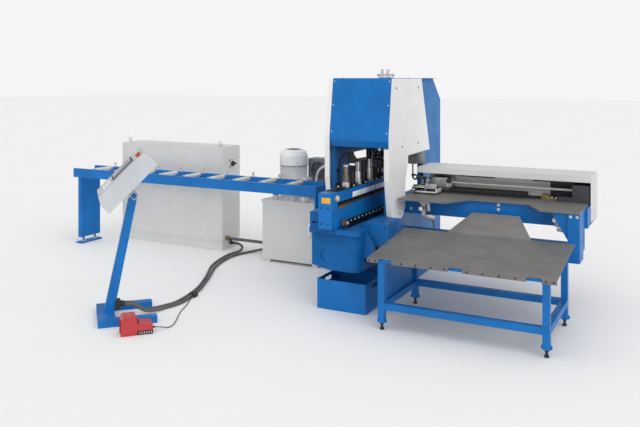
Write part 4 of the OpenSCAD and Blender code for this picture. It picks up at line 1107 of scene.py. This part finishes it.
@dataclass(frozen=True)
class ToolMagazine:
    """Sliding tool magazine: blank station plates, dark rail top, collars, dies and the varied tools.

    Profiles are pairs of radius and height.
    """

    body: str = "magazine"
    stations: int = 7
    pitch: float = 0.125
    half: float = 0.06
    rail_top: float = 0.99
    plates: Pairs = ((-0.747, -0.55), (-0.542, -0.344), (-0.332, -0.258), (-0.246, -0.014))
    plate_z: Pair = (0.908, 0.953)
    rim: Pairs = (
        (0.0165, 1.033), (0.0165, 0.999), (0.034, 0.999), (0.034, 1.012), (0.0315, 1.014), (0.0315, 1.031),
        (0.0295, 1.033),
    )
    wall: Pairs = ((0.0238, 1.1), (0.0238, 1.03), (0.0268, 1.03), (0.0268, 1.096), (0.0255, 1.1))
    die: Pairs = ((0.018, 0.883), (0.018, 0.874), (0.034, 0.874), (0.034, 0.882), (0.032, 0.883))
    sleeve: Pairs = (
        (0.0142, 1.163), (0.0142, 1.074), (0.019, 1.074), (0.02, 1.078), (0.02, 1.155), (0.018, 1.163),
    )
    cap: Pairs = ((0.0232, 1.166), (0.0262, 1.168), (0.0262, 1.18), (0.0245, 1.1835), (0.0232, 1.1835))
    bar: Pairs = ((-0.02, 0), (0.16, 0), (0.16, 0.01), (0.0, 0.022), (-0.02, 0.022))
    plug_radius: float = 0.024
    coil_radius: float = 0.0195
    coil_z: Pair = (1.078, 1.16)
    coil_turns: int = 7
    disc_z: Pair = (1.078, 1.158)
    disc_count: int = 6

    def at(self, *stations: int) -> list[Point]:
        """Places of stations along the magazine."""
        return [(0, (s - self.stations) * self.pitch, 0) for s in stations]

    def build(self) -> None:
        """Dresses the magazine and adds its fittings."""
        dress(BLUE, "magazine", "tool_rail")
        dress(OILED, "die_plate")
        dress(BRIGHT, "punch_1", "punch_3", "punch_5")
        dress(OXIDE, "punch_2", "punch_4", "punch_6", "punch_7")
        self.rail()
        self.rings()
        self.ends()
        self.tools()

    def rail(self) -> None:
        """Blank station plates, and the rail's dark top with screws between the stations."""
        (low, high), side = self.plate_z, self.half
        inner, outer = side - 0.0005, side + 0.0014
        cards = [slab((inner, a, low), (outer, b, high), radius=0.0006) for a, b in self.plates]
        piece("station_plates", joined(cards), LABEL, self.body)
        top = self.rail_top + 0.007
        strip = slab((-0.056, -1.02, self.rail_top - 0.001), (0.056, 0.165, top), radius=0.002)
        piece("rail_top_strip", strip, OXIDE, self.body)
        between = (np.arange(self.stations) - self.stations + 0.5) * self.pitch
        heads = screws(lattice((-0.045, 0.045), between, top), UP, radius=0.008, height=0.008)
        piece("rail_screws", heads, ZINC, self.body)

    def rings(self) -> None:
        """Tubes and collars round the tools, and the dies' rings below them."""
        tall, collar = turned_ring(self.wall, UP), turned_ring(self.rim, UP, sides=32)
        die = turned_ring(self.die, UP, sides=32)
        for name, shape, picks, finish in (
            ("tool_tubes_tan", tall, (1,), OILED), ("tool_tubes_steel", tall, (3, 5), ZINC),
            ("tool_tubes_black", tall, (2, 4, 6), OXIDE), ("collars_bright", collar, (1, 3, 5), ZINC),
            ("collars_dark", collar, (2, 4, 6, 7), OXIDE), ("die_rings", die, range(1, 8), OXIDE),
        ):
            piece(name, shape.repeated(self.at(*picks)), finish, self.body)

    def ends(self) -> None:
        """Blank plate, domed plug, screws and bar guide at the front end; the dome is a spun ellipse."""
        label = slab((-0.028, -1.1556, 0.909), (0.052, -1.1535, 0.956), radius=0.0008)
        piece("blank_plate", label, AMBER, self.body)
        turn, r = np.radians(np.linspace(0, 90, 8)), self.plug_radius
        dome = [(0, SUNK), (r, SUNK), *zip(r * np.cos(turn), 0.008 + 0.018 * np.sin(turn))]
        piece("rail_plug", lathe(dome, RIGHT, (0.0595, -1.055, 0.94), sides=28), BEIGE, self.body)
        post = lattice((-0.03, 0.03), -1.154, (0.74, 0.87))
        piece("post_screws", screws(post, FRONT, radius=0.007), OXIDE, self.body)
        piece("bar_guide", plate(self.bar, RIGHT, (0.0598, -1.0, 0.852), 0.006), BRASS, self.body)

    def tools(self) -> None:
        """Bodies that move with the punches: sleeves, a pale cap, springs and a pack of disc springs."""
        for number, finish in ((1, OILED), (3, BRIGHT), (4, OXIDE), (5, ZINC)):
            made = turned_ring(self.sleeve, UP, *self.at(number))
            piece(f"tool_sleeve_{number}", made, finish, f"punch_{number}")
        piece("tool_cap_2", turned_ring(self.cap, UP, *self.at(2), sides=32), LABEL, "punch_2")
        turn = np.linspace(0, 2 * np.pi * self.coil_turns, self.coil_turns * 20)
        rise, r = np.linspace(*self.coil_z, len(turn)), self.coil_radius
        coil = tube(points_of(r * np.cos(turn), r * np.sin(turn), rise), 0.003, sides=8)
        for number, finish in ((2, OXIDE), (6, ZINC)):
            piece(f"tool_spring_{number}", coil.repeated(self.at(number)), finish, f"punch_{number}")
        self.discs()

    def discs(self) -> None:
        """Disc springs as one turned pack: each bulges between two waists, with a bright seam at each."""
        rise = np.linspace(*self.disc_z, self.disc_count + 1)
        inner, waist, bulge = 0.0142, 0.044, 0.056
        low, high = rise[:-1], rise[1:]
        levels = np.stack([low, 0.6 * low + 0.4 * high, 0.35 * low + 0.65 * high, high - 0.001], -1)
        pack = points_of(np.array([waist, bulge, bulge, waist]), levels).reshape(-1, 2)
        profile = [(inner, 1.074), *pack, (inner, 1.162)]
        piece("disc_springs_7", lathe(profile, UP, sides=40), OXIDE, "punch_7")
        seams = [ring(0.0475, 0.0022, UP, (0, 0, z)) for z in rise]
        piece("disc_spring_seams_7", joined(seams), ZINC, "punch_7")


@dataclass(frozen=True)
class FeedUnit:
    """Feed table, guide and cover with the carriage's fittings, stop wedge, seals and air fittings."""

    table_top: float = 0.87
    beam_front: float = -0.13
    cover_front: float = 0.05
    cover_top: float = 1.1
    wedge: Pairs = ((-0.07, 0), (0.07, 0), (0.07, 0.042), (0.03, 0.042))
    seals_x: Pairs = ((0.755, 1.085), (1.412, 1.692))
    chain_x: float = 0.64
    chain_y: Pair = (0.112, 0.218)
    chain_z: Pair = (0.011, 0.046)
    link: float = 0.028
    link_pitch: float = 0.031
    links: int = 22
    carriage_front: float = 0.11
    barrel: Pairs = ((0, 0), (0.014, 0), (0.017, 0.004), (0.017, 0.126), (0.014, 0.13), (0, 0.13))
    barrel_yz: Pair = (0.15, 1.0225)
    arm: tuple[Point, ...] = (
        (0.452, -0.008, 1.007), (0.42, -0.016, 1.012), (0.395, -0.024, 1.015), (0.382, -0.028, 1.015),
    )
    frame_bars: tuple[tuple[Point, Point], ...] = (
        ((0.349, -0.094, 0.887), (0.59, -0.084, 0.899)), ((0.58, -0.0945, 0.887), (0.59, 0.048, 0.9225)),
        ((0.349, -0.0945, 0.887), (0.358, 0.06, 0.899)), ((0.349, -0.094, 0.93), (0.476, -0.086, 0.938)),
    )
    air_x: Pair = (0.56, 1.69)
    valve_y: float = -0.301
    gauge_rim: Pairs = (
        (0.0195, 0.006), (0.0195, -0.002), (0.0235, -0.002), (0.0235, 0.005), (0.0225, 0.006),
    )
    dial: Pairs = ((0, 0), (0.0195, 0), (0.0195, 0.003), (0, 0.003))
    valve_post: Pairs = ((0, 0.731), (0.009, 0.731), (0.009, 0.765), (0, 0.765))

    def build(self) -> None:
        """Dresses the feed unit and adds its fittings."""
        dress(BLUE, "feed_frame")
        dress(TABLE, "feed_table")
        dress(GUIDE, "feed_guide")
        dress(ALLOY, "air_units")
        dress(COVER, "feed_cover")
        dress(DARK, "feed_motor")
        dress(BLACK, "chain_tray")
        dress(BRIGHT, "feed_carriage")
        dress(OXIDE, "clamp_jaw")
        front = self.beam_front
        bolts = [*lattice(1.16, front, (0.834, 0.794)), *lattice(0.36, front, (0.83, 0.74))]
        piece("beam_bolts", hex_bolts(bolts, FRONT, radius=0.011), ZINC)
        piece("bracket_bolts", hex_bolts(lattice((1.8, 1.85), -0.42, 0.835), FRONT), ZINC)
        piece("stop_wedge", plate(self.wedge, BACK, (1.54, 0.13, self.table_top), 0.06), BRASS)
        piece("stop_screws", screws(lattice((1.56, 1.595), 0.13, 0.888), FRONT, radius=0.008), ZINC)
        self.cover()
        edge = [*lattice((0.38, 0.74, 1.6, 1.83), -0.40, self.table_top)]
        edge += [*lattice((0.95, 1.16, 1.37), -0.145, self.table_top)]
        piece("table_screws", screws(edge, UP, radius=0.007, height=0.001), OXIDE)
        self.cable_chain()
        self.carriage()
        for name, x in zip(("left", "right"), self.air_x):
            self.air(name, x)

    def cover(self) -> None:
        """Black seals along the cover's front and screws on its top."""
        near, far = self.cover_front + 0.001, self.cover_front + 0.005
        seals = [slab((a, near, 1.036), (b, far, 1.0485), radius=0.001) for a, b in self.seals_x]
        piece("cover_seals", joined(seals), BLACK)
        spots = lattice((0.5, 1.0, 1.5, 1.8), (0.44, 0.09), self.cover_top)
        piece("cover_screws", screws(spots, UP), ZINC)

    def cable_chain(self) -> None:
        """A row of equal links in the tray and a round link at its end."""
        (y0, y1), (z0, z1) = self.chain_y, self.chain_z
        link = slab((0, y0, self.table_top + z0), (self.link, y1, self.table_top + z1))
        steps = self.chain_x + self.link_pitch * np.arange(self.links)
        piece("cable_chain", link.repeated(lattice(steps, 0, 0)), BLACK)
        radius, wide = (z1 - z0) / 2, y1 - y0
        centre = (1.322, y0, self.table_top + (z0 + z1) / 2)
        bend = lathe([(0, 0), (radius, 0), (radius, wide), (0, wide)], BACK, centre)
        piece("cable_chain_end", bend, BLACK)

    def carriage(self) -> None:
        """Fittings that move with the carriage, and the handle of the clamp."""
        body = "feed_carriage"
        y, z = self.barrel_yz
        buffer = rubber_buffer((0.645, self.carriage_front, 0.982), FRONT, radius=0.024, height=0.026)
        piece("carriage_buffer", buffer, BLACK, body)
        piece("jaw_bracket", slab((0.362, -0.079, 0.886), (0.404, -0.063, 0.952)), BLACK, body)
        buffer = rubber_buffer((0.378, -0.078, 0.912), FRONT, radius=0.022, height=0.034)
        piece("jaw_buffer", buffer, BLACK, body)
        head = screws([(0.378, -0.112, 0.912)], FRONT, radius=0.009, height=0.002)
        piece("jaw_buffer_screw", head, LABEL, body)
        piece("clamp_cylinder", lathe(self.barrel, RIGHT, (0.505, y, z)), BLACK, body)
        bands = [ring(0.0172, 0.002, RIGHT, (x, y, z), sides=24) for x in (0.53, 0.61)]
        piece("clamp_cylinder_bands", joined(bands), BRIGHT, body)
        grip = ring(0.02, 0.0085, BACK, (0.3615, -0.03, 1.015), sides=28)
        piece("clamp_handle", joined([tube(np.array(self.arm), 0.0105), grip]), BLACK, "clamp_jaw")
        bars = [slab(low, high, radius=0.0015) for low, high in self.frame_bars]
        piece("frame_bars", joined(bars), ROLLER, body)
        spots = lattice((0.49, 0.6), self.carriage_front, (0.935, 0.992))
        piece("carriage_screws", screws(spots, FRONT), OXIDE, body)

    def air(self, name: str, x: float) -> None:
        """A gauge, a valve block and its short pipes, which bend through a quarter circle, on an air unit.

        Args:
            name: Which unit it is.
            x: Where the unit stands.
        """
        y, face = self.valve_y, (x - 0.02, -0.365, 0.788)
        piece(f"air_gauge_rim_{name}", turned_ring(self.gauge_rim, FRONT, face), BLACK)
        piece(f"air_gauge_dial_{name}", lathe(self.dial, FRONT, face, sides=28), LABEL)
        block = slab((x - 0.012, y - 0.025, 0.692), (x + 0.074, y + 0.025, 0.732))
        nut = hex_bolts([(x + 0.074, y, 0.712)], RIGHT, radius=0.013)
        piece(f"valve_block_{name}", joined([block, nut]), ZINC)
        post = lathe(self.valve_post, UP, (x + 0.026, y + 0.001, 0), sides=16)
        turn = np.radians(np.linspace(0, 90, 6))
        bow = points_of(x + 0.044 + 0.03 * np.sin(turn), np.array(y), 0.66 + 0.03 * np.cos(turn))
        pipe = np.concatenate([[(x + 0.01, y, 0.69)], bow, [(x + 0.074, y, 0.62)]])
        piece(f"valve_pipes_{name}", joined([post, tube(pipe, 0.006, sides=10, up=BACK)]), BLACK)


@dataclass(frozen=True)
class CollectingTable:
    """Collecting table: frame, sheet with dark lip screws, black levelling feet."""

    lip_y: float = -1.3
    lip_z: float = 0.534
    lip_x: Vec = (0.459, 0.508, 0.718, 0.832, 0.951, 1.055, 1.222, 1.337, 1.453, 1.568, 1.776, 1.829)

    def build(self) -> None:
        """Dresses the table and adds the lip screws."""
        dress(BLUE, "outfeed_frame")
        dress(TABLE, "outfeed_sheet")
        dress(BLACK, "outfeed_feet")
        spots = lattice(self.lip_x, self.lip_y, self.lip_z)
        piece("lip_screws", screws(spots, FRONT, radius=0.0065, height=0.004), OXIDE)


@dataclass(frozen=True)
class InfeedConveyor:
    """Roller conveyor: plated studs, roller end bands and foot nuts."""

    rollers: int = 9
    first_x: float = -0.93
    pitch: float = 0.324
    axis_z: float = 0.861
    stud_y: float = 0.1675
    rail_top: float = 0.875
    rail_front: float = -0.185
    band_y: Vec = (-0.135, -0.128, 0.128, 0.135)
    stud: Pairs = (
        (0, 0), (0.016, 0), (0.016, 0.012), (0.0145, 0.0148), (0.011, 0.0152), (0.011, 0.044),
        (0.008, 0.0475), (0, 0.0475),
    )

    def build(self) -> None:
        """Dresses frame and rollers and adds the small parts."""
        dress(BLUE, "conveyor_frame")
        dress(ROLLER, *(f"roller_{i}" for i in range(1, self.rollers + 1)))
        spots = self.first_x - np.arange(self.rollers) * self.pitch
        studs = lathe(self.stud, UP).repeated(lattice(spots + 0.04, self.stud_y, self.rail_top))
        piece("stud_sleeves", studs, ZINC)
        for number, x in enumerate(spots, 1):
            bands = [ring(0.0238, 0.0012, BACK, (x, y, self.axis_z)) for y in self.band_y]
            piece(f"roller_bands_{number}", joined(bands), OXIDE, f"roller_{number}")
        caps = lattice(spots, self.rail_front, self.axis_z)
        piece("axle_caps", screws(caps, FRONT, radius=0.007, height=0.002), BLUE)
        piece("foot_nuts", hex_bolts(lattice(-3.735, (-0.09, 0.09), 0.018), UP, radius=0.018), ZINC)


@dataclass(frozen=True)
class ControlCabinet:
    """Electrical cabinet: fixed front panel, wiring pipes and the switch plate."""

    right_x: float = -2.03
    front_y: float = 0.298
    width: float = 1.46
    tank_x: float = -1.4
    pipe_radius: float = 0.0135
    cuff: Pairs = (
        (0, SUNK), (0.024, SUNK), (0.024, 0.014), (0.019, 0.016), (0.019, 0.04), (0.014, 0.044), (0, 0.044),
    )

    def build(self) -> None:
        """Dresses the cabinet and adds its fittings."""
        dress(PALE, "cabinet")
        dress(ZINC, "lifting_eyes")
        dress(BLACK, "main_switch")
        right = self.right_x
        across = np.linspace(right - self.width + 0.05, right - 0.05, 6)
        rim = lattice(across, self.front_y, (0.145, 1.11))
        piece("cabinet_screws", screws(rim, FRONT, radius=0.005, height=0.0015), PALE)
        switch = slab((right - 0.001, 0.434, 0.918), (right + 0.004, 0.507, 1.004), radius=0.002)
        piece("switch_plate", switch, BLACK)
        self.pipe("front", 0.372, 0.135, BRASS)
        self.pipe("rear", 0.425, 0.115, BLACK)

    def pipe(self, name: str, y: float, z: float, finish: Finish) -> None:
        """A rigid wiring pipe from the cabinet to the tank with couplings at its ends.

        Args:
            name: Which pipe it is.
            y: How far back it lies.
            z: How high it lies.
            finish: The couplings' finish.
        """
        near, far, r = 0.002, self.tank_x - self.right_x - 0.002, self.pipe_radius
        start, end = (self.right_x, y, z), (self.tank_x, y, z)
        stem = lathe([(0, near), (r, near), (r, far), (0, far)], RIGHT, start, sides=20)
        piece(f"wiring_pipe_{name}", stem, CONDUIT)
        ends = [lathe(self.cuff, RIGHT, start, sides=20), lathe(self.cuff, LEFT, end, sides=20)]
        piece(f"wiring_cuffs_{name}", joined(ends), finish)


@dataclass(frozen=True)
class HydraulicUnit:
    """Tank with motor and cooler: cowl slots, lid bolts, filler, level glass, gauge and fan guard."""

    motor: Pair = (-1.175, 0.405)
    cowl_radius: float = 0.15
    cowl_z: float = 1.0002
    cowl_screw_z: float = 1.03
    top_z: float = 1.165
    slots: Vec = (0.025, 0.045, 0.065, 0.085)
    lid_z: float = 0.65
    filler: Pairs = ((0, 0.05), (0.036, 0.05), (0.036, 0.062), (0.033, 0.07), (0.012, 0.072), (0, 0.072))
    gauge: Pairs = (
        (0, 0), (0.03, 0), (0.032, 0.004), (0.032, 0.016), (0.028, 0.018), (0.028, 0.014), (0, 0.014),
    )
    fan: Point = (-0.925, 0.5, 0.945)
    guard_rings: Vec = (0.03, 0.05, 0.07, 0.086)
    guard_half: float = 0.09
    guard_wire: float = 0.002
    fin_pitch: float = 0.0095
    fins: int = 17

    def build(self) -> None:
        """Dresses the unit and adds its fittings."""
        dress(PALE, "tank")
        dress(CAST, "pump_motor")
        dress(GREY, "oil_cooler")
        self.cowl()
        lid = lattice((-1.385, -1.06, -0.735), (0.145, 0.67), self.lid_z)
        piece("lid_bolts", hex_bolts(lid, UP), ZINC)
        piece("filler_cap", lathe(self.filler, UP, (-1.29, 0.222, self.lid_z)), BLACK)
        glass = slab((-0.846, 0.1185, 0.325), (-0.824, 0.124, 0.455), radius=0.002)
        piece("level_glass", glass, LABEL)
        piece("pressure_gauge", lathe(self.gauge, FRONT, (-0.93, 0.172, 0.672), sides=32), ZINC)
        self.cooler()

    def cowl(self) -> None:
        """Dark rings on the motor's cowl and four screws round it."""
        x, y = self.motor
        rings = [ring(r, 0.0022, UP, (x, y, self.top_z), sides=48) for r in self.slots]
        piece("cowl_slots", joined(rings), DARK)
        piece("cowl_seam", ring(0.1495, 0.0022, UP, (x, y, self.cowl_z), sides=64), DARK)
        for number, turn in enumerate(np.radians([45, 135, 225, 315]), 1):
            c, s = math.cos(turn), math.sin(turn)
            spot = (x + self.cowl_radius * c, y + self.cowl_radius * s, self.cowl_screw_z)
            piece(f"cowl_screw_{number}", screws([spot], (c, s, 0)), ZINC)

    def cooler(self) -> None:
        """Wire guard of rings and crossed bars on the cooler's rear, and the fins at its front."""
        x, y, z = self.fan
        wire, half = self.guard_wire, self.guard_half
        guard = [ring(r, wire, BACK, self.fan, sides=48) for r in self.guard_rings]
        for way in ((half, 0, 0), (0, 0, half)):
            path = np.array(self.fan) + np.outer((-1, 0, 1), way)
            guard.append(tube(path, wire, sides=8, up=BACK))
        piece("fan_guard", joined(guard), OXIDE)
        fin = slab((x - 0.118, y - 0.006, 0.665), (x + 0.118, y + 0.002, 0.669), radius=0.001)
        piece("cooler_fins", fin.repeated(lattice(0, 0, self.fin_pitch * np.arange(self.fins))), OXIDE)


@dataclass(frozen=True)
class Console:
    """Control console: screen, key field, stop button plate, pivot bolts.

    The panel's sizes are up the slope from the pivot, across it and out of it.
    """

    pivot: Pair = (0.195, 0.978)
    tilt: float = math.radians(45)
    face: float = 0.215
    top: float = 0.31
    low: float = -0.16
    half: float = 0.21
    disc: Pairs = ((0.0205, 0), (0.034, 0), (0.034, 0.0015), (0.0335, 0.002), (0.0205, 0.002))
    key_pitch: Pair = (0.026, 0.032)
    key_rows: int = 3
    key_columns: int = 8

    def on_slope(self, name: str, shape: Shape, finish: Finish) -> None:
        """A piece of the housing that is given in the sloped panel's axes.

        Args:
            name: The piece's name.
            shape: Its surface up the slope, across it and out of it.
            finish: Its finish.
        """
        c, s = math.cos(self.tilt), math.sin(self.tilt)
        rows = np.array([(c, 0, s), (0, 1, 0), (-s, 0, c)]) @ STAND.rows()
        x, z = self.pivot
        piece(name, shape.turned(rows, STAND.at(x, 0, z)), finish, "console_box")

    def build(self) -> None:
        """Dresses the console and adds the panel's fittings."""
        dress(BLUE, "console_stand")
        dress(DESK, "console_box")
        dress(RED, "estop_button")
        face, half = self.face, self.half
        button = (self.top - 0.05, 0.05 - half, face)
        self.on_slope("stop_plate", turned_ring(self.disc, UP, button, sides=36), YELLOW)
        self.on_slope("screen_bezel", slab((-0.02, -0.1, face - 0.002), (0.2, 0.17, face + 0.004)), BLACK)
        screen = slab((-0.008, -0.086, face + 0.002), (0.188, 0.156, face + 0.0052), radius=0.001)
        self.on_slope("screen_glass", screen, GLASS)
        key = slab((0, 0, face - 0.001), (0.018, 0.022, face + 0.0016), radius=0.0014)
        up, across = self.key_pitch
        keys = lattice(-0.12 + up * np.arange(self.key_rows), -0.12 + across * np.arange(self.key_columns), 0)
        self.on_slope("key_field", key.repeated(keys), LABEL)
        corners = lattice((self.low, self.top - 0.02), (0.015 - half, half - 0.015), face)
        self.on_slope("panel_corner_screws", screws(corners, UP, radius=0.005), OXIDE)
        x, z = self.pivot
        for name, way in (("near", -1), ("far", 1)):
            bolt = hex_bolts([(x, way * 0.052, z)], (0, way, 0), radius=0.016)
            piece(f"pivot_bolt_{name}", bolt.turned(STAND.rows(), STAND.origin), BLUE)


@dataclass(frozen=True)
class FloorPieces:
    """Foot switch with its black base, and the scrap bin with a rolled rim."""

    half: float = 0.06
    vents: int = 6
    vent_pitch: float = 0.017
    bin_low: Pair = (-0.149, -1.0)
    bin_high: Pair = (0.293, -0.6)
    bin_top: float = 0.245
    rim_radius: float = 0.0032

    def build(self) -> None:
        """Dresses both and adds base, vents and rim."""
        dress(RED, "foot_switch_body")
        dress(BLACK, "foot_pedal")
        dress(BLUE, "scrap_bin")
        rows, origin, half = SWITCH.rows(), SWITCH.origin, self.half
        base = slab((0.118, -half - 0.0016, 0.001), (0.2365, half + 0.0016, 0.032), radius=0.0012)
        piece("switch_base", base.turned(rows, origin), BLACK)
        vent = slab((0, -half - 0.0024, 0.008), (0.007, -half + 0.001, 0.024), radius=0.0008)
        spots = lattice(0.136 + self.vent_pitch * np.arange(self.vents), (0, 2 * half + 0.0014), 0)
        piece("switch_vents", vent.repeated(spots).turned(rows, origin), ALLOY)
        self.bin_rim()

    def bin_rim(self) -> None:
        """Four round rods along the bin's upper edges."""
        (x0, y0), (x1, y1), z = self.bin_low, self.bin_high, self.bin_top
        corners = np.array([(x0, y0, z), (x1, y0, z), (x1, y1, z), (x0, y1, z), (x0, y0, z)])
        paths = [np.array([a, (a + b) / 2, b]) for a, b in zip(corners[:-1], corners[1:])]
        piece("bin_rim", joined(tube(path, self.rim_radius, sides=8) for path in paths), BLUE)


def main() -> None:
    """Builds camera, cords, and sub-assemblies and studio in order."""
    logging.basicConfig(level=logging.INFO, format="%(name)s: %(message)s")
    parts = (
        PhotoCamera(), FloorCords(), PressHead(), BaseUnit(), ToolMagazine(), FeedUnit(), CollectingTable(),
        InfeedConveyor(), ControlCabinet(), HydraulicUnit(), Console(), FloorPieces(), Studio(),
    )
    for part in parts:
        LOG.info("building %s", type(part).__name__)
        part.build()


if __name__ == "__main__":
    main()
